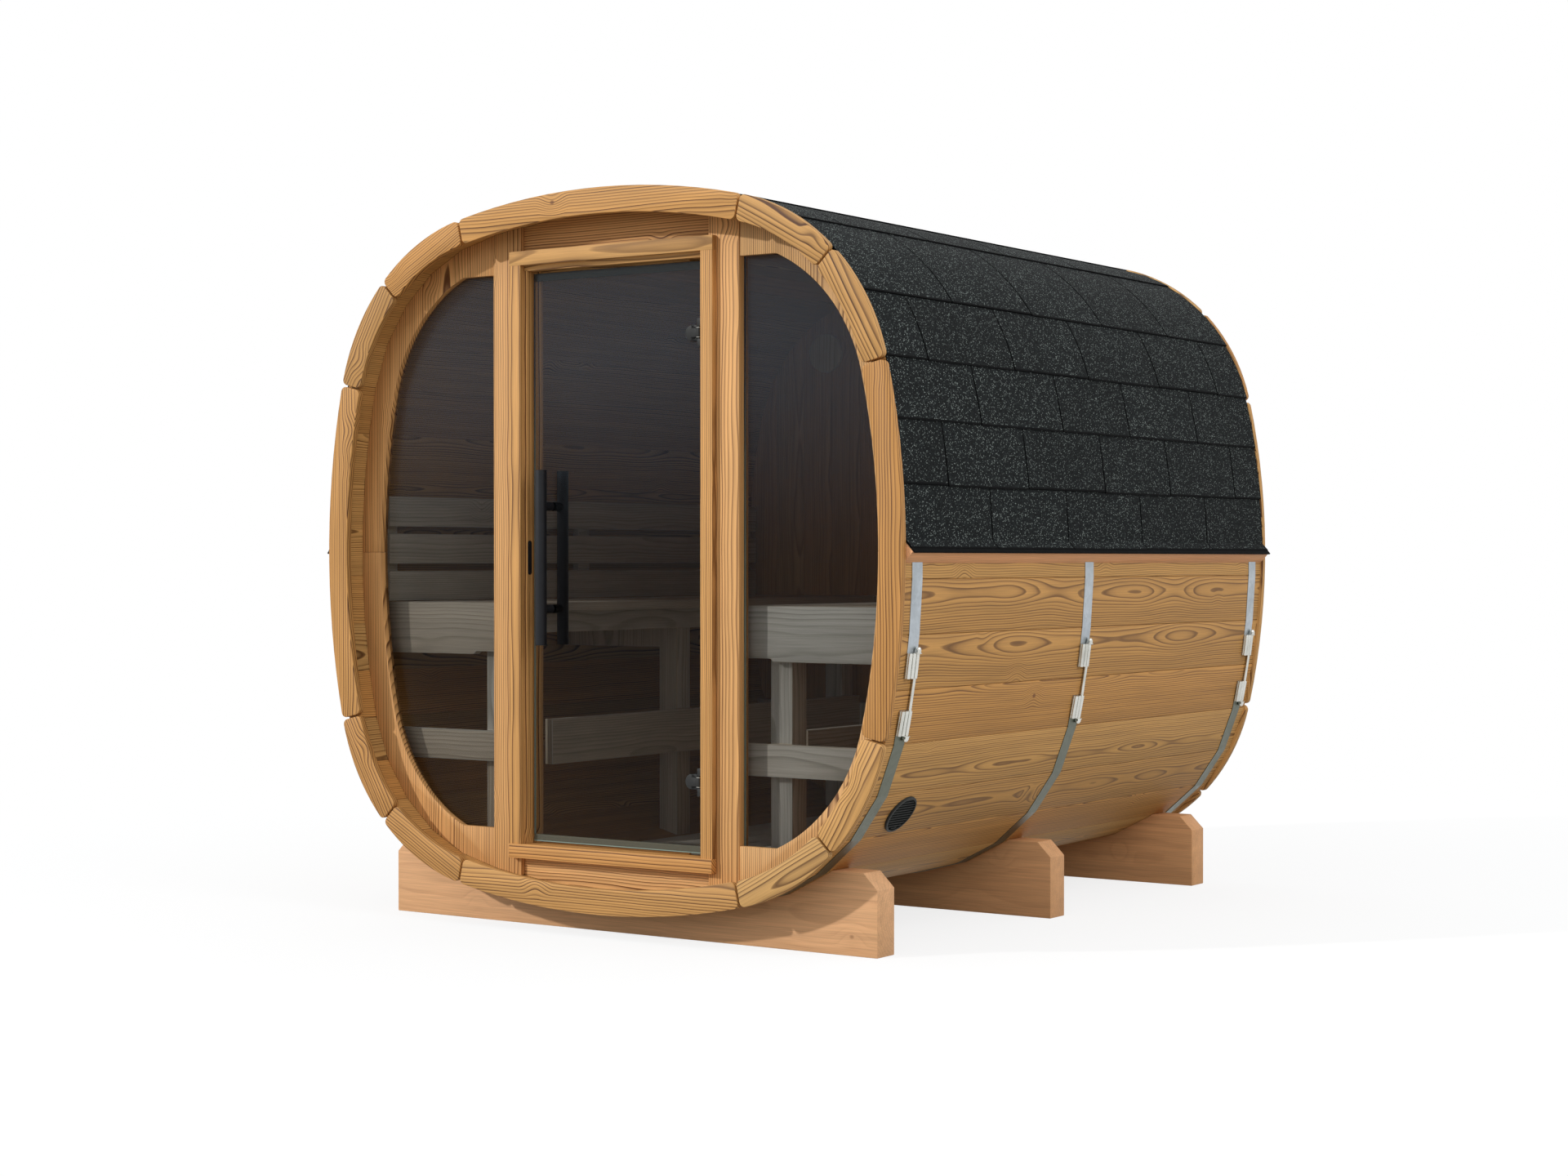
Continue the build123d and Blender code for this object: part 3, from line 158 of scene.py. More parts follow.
class Graph:
    """A shader tree that is written as Python expressions."""

    def __init__(self, tree: bpy.types.NodeTree) -> None:
        """Starts from an empty tree."""
        self.tree = tree
        tree.nodes.clear()

    def node(self, kind: str, settings: dict | None = None, sockets: dict | None = None) -> Shade:
        """Adds one node.

        Args:
            kind: Blender's name of the node's type.
            settings: Properties of the node, or the stops of its ramp, set before its sockets.
            sockets: Values or shades for its inputs, by name or place.

        Returns:
            The node's first output.
        """
        node = self.tree.nodes.new(kind)
        for name, value in (settings or {}).items():
            if name == "stops":
                self._set_stops(node.color_ramp, value)
            else:
                setattr(node, name, value)
        for key, value in (sockets or {}).items():
            if isinstance(value, Shade):
                self.tree.links.new(value.socket, node.inputs[key])
            else:
                node.inputs[key].default_value = value
        return Shade(self, node)

    @staticmethod
    def _set_stops(ramp: bpy.types.ColorRamp, stops: Sequence[Point]) -> None:
        """Gives a ramp its grey stops as pairs of place and level."""
        while len(ramp.elements) < len(stops):
            ramp.elements.new(1.0)
        for element, (place, level) in zip(ramp.elements, stops):
            element.position = place
            element.color = (level, level, level, 1.0)

    def math(self, operation: str, *values: Shade | float) -> Shade:
        """A Math node on up to three values."""
        return self.node("ShaderNodeMath", {"operation": operation}, dict(enumerate(values)))

    def vector(self, operation: str, *values: "Shade | Sequence[float]") -> Shade:
        """A Vector Math node on its vectors."""
        return self.node("ShaderNodeVectorMath", {"operation": operation}, dict(enumerate(values)))

    def mix(
        self, factor: Shade | float, first: "Shade | Colour", second: "Shade | Colour", blend: str = "MIX"
    ) -> Shade:
        """A colour mix.

        Args:
            factor: Share of the second colour.
            first: Colour at factor zero.
            second: Colour at factor one, or the layer of another blend.
            blend: Blender's name of the blend.

        Returns:
            The mixed colour.
        """
        layers = [c if isinstance(c, Shade) else (*c, 1.0) for c in (first, second)]
        settings = {"data_type": "RGBA", "blend_type": blend}
        return self.node("ShaderNodeMix", settings, {0: factor, 6: layers[0], 7: layers[1]}).out(2)

    def times(self, colour: "Shade | Colour", level: "Shade | Colour") -> Shade:
        """A colour multiplied by a level or by another colour."""
        return self.mix(1.0, colour, level, "MULTIPLY")

    def split(self, vector: Shade) -> Shade:
        """A vector's parts, as the outputs X, Y and Z."""
        return self.node("ShaderNodeSeparateXYZ", None, {0: vector})

    def split_colour(self, colour: Shade) -> Shade:
        """A colour's parts, as the outputs Red, Green and Blue."""
        return self.node("ShaderNodeSeparateColor", None, {0: colour})

    def step(self, value: Shade, low: float | Shade, high: float | Shade) -> Shade:
        """A smooth rise from zero at low to one at high."""
        settings = {"interpolation_type": "SMOOTHSTEP"}
        return self.node("ShaderNodeMapRange", settings, {0: value, 1: low, 2: high})

    def noise(self, place: Shade, scale: float, detail: float = 2.0) -> Shade:
        """Soft noise between zero and one."""
        return self.node("ShaderNodeTexNoise", None, {"Vector": place, "Scale": scale, "Detail": detail})

    def stretched(self, place: Shade, scale: Triple, detail: float) -> Shade:
        """Soft noise with a scale of its own along each axis."""
        return self.noise(self.vector("MULTIPLY", place, scale), 1.0, detail)

    def cells(self, place: Shade, scale: float) -> Shade:
        """Voronoi cells: the distance to the nearest centre, and the cell's chance colour."""
        return self.node("ShaderNodeTexVoronoi", None, {"Vector": place, "Scale": scale})

    def object_place(self) -> Shade:
        """Object coordinates."""
        return self.node("ShaderNodeTexCoord").out("Object")

    def seen(self) -> Shade:
        """One on rays from the camera, off gloss or through glass, else zero."""
        path = self.node("ShaderNodeLightPath")
        seen = self.math("MAXIMUM", path.out("Is Camera Ray"), path.out("Is Glossy Ray"))
        return self.math("MAXIMUM", seen, path.out("Is Transmission Ray"))

    def attribute(self, name: str) -> Shade:
        """A vector that the piece's own vertices carry."""
        return self.node("ShaderNodeAttribute", {"attribute_name": name}).out("Vector")

    def bump(self, height: Shade, strength: float, distance: float) -> Shade:
        """A normal raised by a height."""
        sockets = {"Strength": strength, "Distance": distance, "Height": height}
        return self.node("ShaderNodeBump", None, sockets)

    def surface(self, **sockets: "Shade | float | Sequence[float]") -> None:
        """Ends the tree with a Principled surface, its sockets named with underscores for spaces."""
        named = {key.replace("_", " "): value for key, value in sockets.items()}
        shader = self.node("ShaderNodeBsdfPrincipled", None, named)
        self.node("ShaderNodeOutputMaterial", None, {"Surface": shader})


def new_graph(name: str) -> tuple[bpy.types.Material, Graph]:
    """A fresh material and its empty graph."""
    material = bpy.data.materials.new(name)
    material.use_nodes = True
    return material, Graph(material.node_tree)


@dataclass(frozen=True)
class WoodFinish:
    """Planed softwood cut from a round log: growth rings, fibres, knots and boards of their own tone."""

    slot: str
    pale: Colour
    dark: Colour
    line_weight: float = 1.0
    ring_pitch: float = 0.0056
    knot: Colour = srgb(104, 60, 30)
    warmth: Colour = srgb(255, 236, 214)
    pith_depth: float = 0.05
    pith_shift: float = 0.06
    rift: float = 0.0
    bow: float = 0.03
    sway_pace: float = 3.4
    sway_width: float = 2.2
    ripple: float = 0.007
    ripple_scale: Triple = (2.2, 16.0, 16.0)
    year_shift: float = 9.0
    late_base: float = 0.48
    late_swing: float = 0.52
    knot_share: float = 0.30
    knot_size: float = 0.008
    knot_scale: float = 7.0
    knot_stretch: Triple = (0.75, 1.0, 0.06)
    knot_least: float = 0.35
    knot_core: float = 0.5
    knot_cover: float = 0.8
    swirl_reach: float = 0.05
    swirl_push: float = 0.015
    fibre_scale: Triple = (7.0, 380.0, 380.0)
    streak_scale: Triple = (1.6, 34.0, 34.0)
    base_tone: float = 0.50
    fibre_tone: float = 0.58
    streak_tone: float = 0.42
    board_tone: float = 0.18
    seed_spread: float = 41.0
    roughness: float = 0.58
    fibre_rough: float = 0.12
    ring_smooth: float = 0.06
    gloss: float = 0.35
    ring_height: float = -0.35
    fibre_height: float = 0.5
    knot_height: float = 0.3
    relief: float = 0.35
    relief_depth: float = 0.0012

    def material(self) -> bpy.types.Material:
        """Builds the finish.

        Returns:
            The material, which reads the boards' grain and chance attributes.
        """
        material, graph = new_graph(self.slot)
        grain = graph.attribute("grain")
        chance = graph.attribute("board")
        tone = graph.split(chance)
        place = graph.vector("ADD", grain, graph.vector("MULTIPLY", chance, (self.seed_spread,) * 3))
        knot, swirl = self._knots(graph, place)
        rings = self._rings(graph, grain, place, tone, swirl)
        fibre = graph.stretched(place, self.fibre_scale, detail=3.0)
        streak = graph.stretched(place, self.streak_scale, detail=2.0)
        colour = graph.mix(rings * self.line_weight, self.pale, self.dark)
        colour = graph.times(colour, self.base_tone + self.fibre_tone * fibre + self.streak_tone * streak)
        colour = graph.times(colour, (1 - self.board_tone / 2) + self.board_tone * tone.out("Z"))
        colour = graph.mix(tone.out("X"), colour, graph.times(colour, self.warmth))
        height = rings * self.ring_height + fibre * self.fibre_height + knot * self.knot_height
        graph.surface(
            Base_Color=graph.mix(knot, colour, self.knot),
            Roughness=self.roughness + self.fibre_rough * fibre - self.ring_smooth * rings,
            Normal=graph.bump(height, self.relief, self.relief_depth),
            Specular_IOR_Level=self.gloss,
        )
        return material

    def _knots(self, graph: Graph, place: Shade) -> tuple[Shade, Shade]:
        """Knots and the swirl of grain round them.

        Args:
            graph: Tree to add to.
            place: Board coordinates moved by the board's chance values.

        Returns:
            The knots' mask and the push that they give the growth rings, in metres.
        """
        cell = graph.cells(graph.vector("MULTIPLY", place, self.knot_stretch), self.knot_scale)
        pick = graph.split_colour(cell.out("Color"))
        chosen = pick.out("Red") < self.knot_share
        distance = cell.out("Distance") / self.knot_scale
        radius = self.knot_size * (self.knot_least + pick.out("Green"))
        mask = chosen * (1 - graph.step(distance, radius * self.knot_core, radius))
        swirl = chosen * (1 - graph.step(distance, 0.0, self.swirl_reach)) * self.swirl_push
        return mask * self.knot_cover, swirl

    def _rings(self, graph: Graph, grain: Shade, place: Shade, tone: Shade, swirl: Shade) -> Shade:
        """Growth rings round a pith that wanders behind the board's face.

        Args:
            graph: Tree to add to.
            grain: Board coordinates: along, across and through it.
            place: The same, moved by the board's chance values.
            tone: The board's three chance values.
            swirl: Push of the knots, in metres.

        Returns:
            The share of dark late wood.
        """
        axes = graph.split(grain)
        sway_scale = (self.sway_pace, self.sway_width, self.sway_width)
        sway = graph.stretched(place, sway_scale, detail=1.0) - 0.5
        ripple = graph.stretched(place, self.ripple_scale, detail=2.0) - 0.5
        across = axes.out("Y") + self.rift + (tone.out("X") - 0.5) * self.pith_shift
        depth = axes.out("Z") + self.pith_depth * (0.5 + tone.out("Y")) + sway * (2 * self.bow)
        radius = graph.math("SQRT", across * across + depth * depth) + ripple * self.ripple + swirl
        years = radius / self.ring_pitch + tone.out("Z") * self.year_shift
        stops = ((0.0, 0.0), (0.38, 0.10), (0.66, 0.38), (0.86, 1.0), (0.95, 0.8), (1.0, 0.0))
        late = graph.node("ShaderNodeValToRGB", {"stops": stops}, {0: graph.math("FRACT", years)})
        year = {"W": graph.math("FLOOR", years)}
        season = graph.node("ShaderNodeTexWhiteNoise", {"noise_dimensions": "1D"}, year)
        return late * (self.late_base + self.late_swing * season)


@dataclass(frozen=True)
class ShingleFinish:
    """Bitumen shingles under crushed mineral granules."""

    slot: str = "shingle"
    ground: Colour = srgb(4, 6, 7)
    granule: Colour = srgb(31, 36, 37)
    fleck: Colour = srgb(176, 187, 182)
    granule_scale: float = 330.0
    fleck_scale: float = 270.0
    fleck_share: float = 0.27
    fleck_core: float = 0.2
    fleck_rim: float = 0.5
    fleck_base: float = 0.25
    fleck_swing: float = 0.6
    granule_contrast: float = 2.0
    patch_scale: float = 6.0
    base_tone: float = 0.62
    patch_tone: float = 0.5
    tab_tone: float = 0.26
    roughness: float = 0.82
    granule_rough: float = 0.12
    gloss: float = 0.15
    granule_height: float = 0.6
    fleck_height: float = 0.8
    joint_depth: float = 0.5
    relief: float = 0.6
    relief_depth: float = 0.0018

    def material(self) -> bpy.types.Material:
        """Builds the finish."""
        material, graph = new_graph(self.slot)
        place = graph.object_place()
        chance = graph.split(graph.attribute("board"))
        grit = graph.cells(place, self.granule_scale)
        level = graph.split_colour(grit.out("Color"))
        flecks = graph.cells(place, self.fleck_scale)
        pick = graph.split_colour(flecks.out("Color"))
        patch = graph.noise(place, self.patch_scale, detail=3.0)
        colour = graph.mix(level.out("Red") ** self.granule_contrast, self.ground, self.granule)
        inside = 1 - graph.step(flecks.out("Distance"), self.fleck_core, self.fleck_rim)
        bright = (pick.out("Green") < self.fleck_share) * inside
        cover = bright * (self.fleck_base + self.fleck_swing * pick.out("Blue"))
        colour = graph.mix(cover, colour, self.fleck)
        tone = self.base_tone + self.patch_tone * patch + self.tab_tone * chance.out("X")
        height = level.out("Green") * self.granule_height + bright * self.fleck_height
        height = height - grit.out("Distance") * self.joint_depth
        graph.surface(
            Base_Color=graph.times(colour, tone),
            Roughness=self.roughness + self.granule_rough * level.out("Blue"),
            Normal=graph.bump(height, self.relief, self.relief_depth),
            Specular_IOR_Level=self.gloss,
        )
        return material


@dataclass(frozen=True)
class MetalFinish:
    """Bare or coated metal with a faint spangle and handling marks.

    Where a painted-shade colour is given, it takes over below its height: painted shade that stands in for
    the dark ground the lower run faces and reflects.
    """

    slot: str
    colour: Colour
    worn: Colour
    metallic: float
    roughness: float
    painted_shade: Colour | None = None
    painted_shade_height: float = 0.0
    painted_shade_blend: float = 0.01
    spangle_scale: float = 90.0
    spangle: float = 0.12
    spangle_smooth: float = 0.06
    spangle_height: float = 0.3
    smear_scale: float = 14.0
    smear_low: float = 0.35
    smear_high: float = 0.8
    smear_rough: float = 0.16
    relief: float = 0.05
    relief_depth: float = 0.001
    gloss: float = 0.5

    def material(self) -> bpy.types.Material:
        """Builds the finish."""
        material, graph = new_graph(self.slot)
        place = graph.object_place()
        level = graph.split_colour(graph.cells(place, self.spangle_scale).out("Color"))
        smear = graph.noise(place, self.smear_scale, detail=4.0)
        colour = graph.mix(graph.step(smear, self.smear_low, self.smear_high), self.colour, self.worn)
        # Painted shade: below the height the colour turns to the darker one, as if the run reflected the
        # shaded ground.
        if self.painted_shade:
            height = graph.split(place).out("Z")
            above = graph.step(height, self.painted_shade_height, self.painted_shade_height + self.painted_shade_blend)
            colour = graph.mix(above, self.painted_shade, colour)
        roughness = self.roughness + self.smear_rough * smear - self.spangle_smooth * level.out("Green")
        height = smear + self.spangle_height * level.out("Blue")
        graph.surface(
            Base_Color=graph.times(colour, (1 - self.spangle) + self.spangle * level.out("Red")),
            Metallic=self.metallic,
            Roughness=roughness,
            Normal=graph.bump(height, self.relief, self.relief_depth),
            Specular_IOR_Level=self.gloss,
        )
        return material


@dataclass(frozen=True)
class GlassFinish:
    """Tinted pane that lets part of the light pass, with a clear gloss and a painted reflection that grows
    upwards.
    """

    slot: str
    tint: Colour
    cover: float
    painted_reflection: Colour = srgb(65, 74, 83)
    painted_reflection_low: float = 0.95
    painted_reflection_high: float = 1.75
    painted_reflection_base: float = 0.75
    painted_reflection_swing: float = 0.5
    haze_scale: float = 2.5
    haze: float = 0.04
    refraction: float = 1.5
    gloss: float = 0.18

    def material(self) -> bpy.types.Material:
        """Builds the finish."""
        material, graph = new_graph(self.slot)
        place = graph.object_place()
        haze = graph.noise(place, self.haze_scale, detail=4.0)
        # Painted reflection: a pale bluish layer over the tint that grows towards the top of the pane,
        # standing in for the reflected surroundings.
        painted_reflection = graph.step(graph.split(place).out("Z"), self.painted_reflection_low, self.painted_reflection_high)
        graph.surface(
            Base_Color=graph.mix(painted_reflection * (self.painted_reflection_base + self.painted_reflection_swing * haze), self.tint, self.painted_reflection),
            Roughness=self.haze * haze,
            Alpha=self.cover,
            IOR=self.refraction,
            Specular_IOR_Level=self.gloss,
        )
        return material


@dataclass(frozen=True)
class FloorFinish:
    """Pale studio floor: it takes the shadow near the part and melts into the white ground far off."""

    slot: str = "studio_floor"
    seen: Colour = (0.92, 0.92, 0.92)
    speckle: Colour = (0.86, 0.86, 0.86)
    speckle_scale: float = 40.0
    speckle_share: float = 0.06
    bounced: Colour = (0.27, 0.25, 0.22)
    near: float = 1.6
    far: float = 5.0
    lift: float = 0.80

    def material(self) -> bpy.types.Material:
        """Builds the finish."""
        material, graph = new_graph(self.slot)
        place = graph.object_place()
        distance = graph.vector("LENGTH", place).out("Value")
        fade = self.lift + (1 - self.lift) * graph.step(distance, self.near, self.far)
        speckle = graph.noise(place, self.speckle_scale, detail=3.0)
        paint = graph.mix(speckle * self.speckle_share, self.seen, self.speckle)
        shaded = graph.node("ShaderNodeBsdfDiffuse", None, {"Color": paint})
        lit = graph.node("ShaderNodeEmission", None, {"Color": WHITE, "Strength": 1.0})
        dim = graph.node("ShaderNodeBsdfDiffuse", None, {"Color": (*self.bounced, 1.0)})
        shown = graph.node("ShaderNodeMixShader", None, {0: fade, 1: shaded, 2: lit})
        both = graph.node("ShaderNodeMixShader", None, {0: graph.seen(), 1: dim, 2: shown})
        graph.node("ShaderNodeOutputMaterial", None, {"Surface": both})
        return material


class Finishes:
    """Every finish of the sauna, made once."""

    def __init__(self) -> None:
        """Builds the materials by name."""
        wide = {"ring_pitch": 0.0062, "rift": 0.06, "bow": 0.008}
        front_wall = {"line_weight": 1.15, **wide}
        upright = {"line_weight": 1.15, "ring_pitch": 0.0066, "rift": 0.05, "bow": 0.006}
        frame = {"knot_share": 0.2, "board_tone": 0.08, **upright}
        coarse = {"line_weight": 0.26, "ring_pitch": 0.010, "pith_depth": 0.12, "bow": 0.016}
        straight = {"line_weight": 0.75, "ring_pitch": 0.0052, "rift": 0.05, "bow": 0.006}
        straight |= {"pith_depth": 0.16, "knot_share": 0.08}
        # Painted shade on the hoops' lower run, below the lower clamps.
        painted_shade_below = {"painted_shade": srgb(102, 106, 94), "painted_shade_height": 0.63}
        black = {"spangle": 0.05, "gloss": 0.3}
        deep = {"spangle": 0.05, "gloss": 0.25}
        finishes = (
            WoodFinish("stave_wood", srgb(202, 159, 97), srgb(88, 54, 20), pith_shift=0.19, sway_pace=1.8),
            WoodFinish("trim_wood", srgb(206, 161, 100), srgb(84, 50, 20), knot_share=0.5, **upright),
            WoodFinish("wall_wood", srgb(222, 176, 119), srgb(98, 60, 27), knot_share=0.4, **front_wall),
            WoodFinish("frame_wood", srgb(214, 166, 104), srgb(90, 54, 21), **frame),
            WoodFinish("cradle_wood", srgb(215, 173, 133), srgb(160, 116, 80), **coarse),
            WoodFinish("pale_wood", srgb(222, 221, 212), srgb(158, 155, 141), **straight),
            WoodFinish("back_wall_wood", srgb(206, 160, 108), srgb(120, 78, 42), line_weight=0.4, **wide),
            # Painted light: a paler wood that offsets the shade under the eave.
            WoodFinish("batten_wood_painted_light", srgb(236, 186, 144), srgb(196, 142, 104), line_weight=0.5),
            MetalFinish("galvanised", srgb(184, 191, 197), srgb(168, 176, 182), 0.9, 0.34, **painted_shade_below),
            MetalFinish("zinc", srgb(214, 214, 208), srgb(190, 190, 182), 1.0, 0.22, spangle=0.06),
            MetalFinish("black_metal", srgb(24, 25, 29), srgb(31, 32, 36), 0.1, 0.5, **deep),
            MetalFinish("steel_fittings", srgb(42, 43, 43), srgb(50, 51, 51), 0.4, 0.5, **black),
            MetalFinish("black_plastic", srgb(32, 34, 33), srgb(40, 42, 40), 0.0, 0.52, **black),
            # Bare bitumen of the underlay, butts and cut sides, also used for the painted shadow line above
            # each butt.
            MetalFinish("bitumen_and_painted_shadow", srgb(5, 6, 7), srgb(10, 11, 12), 0.0, 0.85, gloss=0.1),
            GlassFinish("tinted_glass", srgb(12, 12, 13), 0.30),
            # Green cut edge: the green is the glass's own tint, but its lightness is painted light. This also
            # gives the painted highlight on the door's bottom rim.
            GlassFinish("glass_edge_painted_light", srgb(132, 152, 144), 0.92),
            GlassFinish("lower_seal", srgb(92, 92, 80), 0.75),
            GlassFinish("upper_seal", srgb(46, 51, 53), 0.75, painted_reflection=srgb(46, 51, 53)),
            ShingleFinish(),
            FloorFinish(),
        )
        self.by_name = {finish.slot: finish.material() for finish in finishes}


class Grain(Enum):
    """Which way the grain of a board runs."""

    ALONG_X = (1.0, 0.0, 0.0)
    ALONG_Y = (0.0, 1.0, 0.0)
    ALONG_Z = (0.0, 0.0, 1.0)
    LONGEST = None
    BY_FACE = ()


class Workshop:
    """Makes named pieces from meshes and sets them on the frame."""

    def __init__(self, frame: dict, finishes: Finishes) -> None:
        """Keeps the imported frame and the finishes."""
        self.nodes = frame["nodes"]
        self.finishes = finishes
        self.made: list[str] = []

    def cad_solid(self, node: str) -> Solid:
        """A merged copy of a CAD node with its flat faces whole.

        Args:
            node: Name of the CAD node.

        Returns:
            A new bmesh, which the caller uses up.
        """
        mesh = self.nodes[node].data.copy()
        normals = mesh.attributes.get("custom_normal")
        if normals:
            mesh.attributes.remove(normals)
        solid = bmesh.new()
        solid.from_mesh(mesh)
        bpy.data.meshes.remove(mesh)
        bmesh.ops.remove_doubles(solid, verts=solid.verts, dist=MERGE_DISTANCE)
        bmesh.ops.dissolve_limit(solid, angle_limit=FLAT_ANGLE, verts=solid.verts, edges=solid.edges)
        return solid

    def finish(
        self,
        name: str,
        solid: Solid,
        slot: str,
        replaces: Sequence[str],
        body: str = "cabin",
        looks: Sequence[str] = (),
    ) -> None:
        """Makes a piece of a bmesh and sets it on the frame.

        Args:
            name: Name of the piece.
            solid: Its shape, which is used up.
            slot: Record slot of its finish.
            replaces: CAD nodes that it stands for.
            body: CAD body that it moves with.
            looks: Finishes of its faces by material index, where they aren't the slot's own alone.
        """
        mesh = bpy.data.meshes.new(name)
        solid.to_mesh(mesh)
        solid.free()
        for look in looks or (slot,):
            mesh.materials.append(self.finishes.by_name[look])
        mesh.shade_smooth()
        mesh.set_sharp_from_angle(angle=SHARP_ANGLE)
        piece = bpy.data.objects.new(name, mesh)
        bpy.context.scene.collection.objects.link(piece)
        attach(piece, body)
        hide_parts(*replaces)
        self.made.append(name)
        LOG.info("%s: %d faces on %s", name, len(mesh.polygons), body)

    def paint(self, node: str, slot: str) -> None:
        """Gives a CAD node that stays its finish."""
        materials = self.nodes[node].data.materials
        materials.clear()
        materials.append(self.finishes.by_name[slot])
        LOG.info("%s: CAD node in %s", node, slot)


def ease_edges(solid: Solid, width: float, segments: int = 2, sharp: float = SHARP_ANGLE) -> None:
    """Rounds every sharp edge of a shape.

    Args:
        solid: Shape to change.
        width: Width of the rounding.
        segments: Steps across it.
        sharp: Angle past which an edge counts as sharp.
    """
    edges = [edge for edge in solid.edges if len(edge.link_faces) == 2 and edge.calc_face_angle(0.0) > sharp]
    bevel_edges(solid, edges, width, segments)


def bevel_edges(solid: Solid, edges: Iterable[Edge], width: float, segments: int) -> None:
    """Bevels some edges round."""
    bmesh.ops.bevel(
        solid,
        geom=list(edges),
        offset=width,
        offset_type="OFFSET",
        segments=segments,
        profile=0.5,
        affect="EDGES",
        clamp_overlap=True,
        material=-1,
    )


def face_outwards(solid: Solid) -> None:
    """Turns the normals of a shape outwards."""
    bmesh.ops.recalc_face_normals(solid, faces=solid.faces)


def join(solid: Solid, part: Solid) -> None:
    """Moves a part, which is used up, into a shape."""
    mesh = bpy.data.meshes.new("part")
    part.to_mesh(mesh)
    part.free()
    solid.from_mesh(mesh)
    bpy.data.meshes.remove(mesh)


def cut_at(solid: Solid, place: Vector, normal: Vector, clear: bool = False) -> list[Edge]:
    """Cuts a shape by a plane.

    Args:
        solid: Shape to cut.
        place: A point of the plane.
        normal: The plane's normal.
        clear: Whether what lies past the plane is taken away.

    Returns:
        Edges of the cut.
    """
    geometry = [*solid.verts, *solid.edges, *solid.faces]
    cut = bmesh.ops.bisect_plane(solid, geom=geometry, plane_co=place, plane_no=normal, clear_outer=clear)
    return [item for item in cut["geom_cut"] if isinstance(item, Edge)]


def islands(solid: Solid) -> list[list[Vert]]:
    """Groups the vertices of a shape into its separate bodies."""
    seen: set[Vert] = set()
    groups = []
    for start in solid.verts:
        if start in seen:
            continue
        seen.add(start)
        group = [start]
        for vert in group:
            for edge in vert.link_edges:
                other = edge.other_vert(vert)
                if other not in seen:
                    seen.add(other)
                    group.append(other)
        groups.append(group)
    return groups


def board_axes(points: np.ndarray, grain: Grain) -> np.ndarray:
    """Directions along, across and through a board.

    Args:
        points: Its vertices about its middle.
        grain: Which way its grain runs.

    Returns:
        Three unit rows.
    """
    if grain is Grain.LONGEST:
        along = np.linalg.eigh(points.T @ points)[1][:, 2]
    else:
        along = np.array(grain.value)
    flat = points - np.outer(points @ along, along)
    across = np.linalg.eigh(flat.T @ flat)[1][:, 2]
    return np.array([along, across, np.cross(along, across)])


def chance_at(middle: np.ndarray, digits: int) -> Vector:
    """Three chance values, always the same at the same place.

    Args:
        middle: Middle of a board or a face.
        digits: Decimals of it that count.

    Returns:
        The values, each from zero to one.
    """
    dice = random.Random(" ".join(f"{value:.{digits}f}" for value in middle))
    return Vector([dice.random() for _ in range(3)])


def mark_boards(solid: Solid, grain: Grain) -> None:
    """Writes each board's own coordinates and three chance values onto its vertices.

    Args:
        solid: Shape of one or more separate boards.
        grain: Which way their grain runs.
    """
    if grain is Grain.BY_FACE:
        mark_faces(solid)
        return
    solid.verts.ensure_lookup_table()
    grain_layer = solid.verts.layers.float_vector.new("grain")
    board_layer = solid.verts.layers.float_vector.new("board")
    for board in islands(solid):
        points = np.array([vert.co for vert in board])
        middle = (points.min(axis=0) + points.max(axis=0)) / 2
        axes = board_axes(points - middle, grain)
        chance = chance_at(middle, 3)
        for vert, local in zip(board, (points - middle) @ axes.T):
            vert[grain_layer] = local
            vert[board_layer] = chance


def mark_faces(solid: Solid) -> None:
    """Writes board coordinates onto a joined frame, the grain along each face's longest way."""
    grain_layer = solid.loops.layers.float_vector.new("grain")
    board_layer = solid.loops.layers.float_vector.new("board")
    for face in solid.faces:
        points = np.array([vert.co for vert in face.verts])
        order = np.argsort(points.max(axis=0) - points.min(axis=0))[::-1]
        middle = (points.min(axis=0) + points.max(axis=0)) / 2
        chance = chance_at(middle, 2)
        for loop in face.loops:
            local = np.array(loop.vert.co) - middle
            loop[grain_layer] = Vector(local[order])
            loop[board_layer] = chance


def sawn(solid: Solid, across: Vector, cuts: Sequence[float], gap: float) -> Solid:
    """Saws a shape into boards.

    Args:
        solid: Shape to saw, which is used up.
        across: Direction across the cuts.
        cuts: Places of the cuts along it, in rising order.
        gap: Width of each cut.

    Returns:
        The boards as one new bmesh.
    """
    boards = bmesh.new()
    ends = [-math.inf, *cuts, math.inf]
    for low, high in zip(ends[:-1], ends[1:]):
        board = solid.copy()
        for place, way in ((low + gap / 2, -1), (high - gap / 2, 1)):
            if math.isinf(place):
                continue
            rim = cut_at(board, across * place, across * way, True)
            bmesh.ops.holes_fill(board, edges=rim)
        join(boards, board)
    solid.free()
    return boards


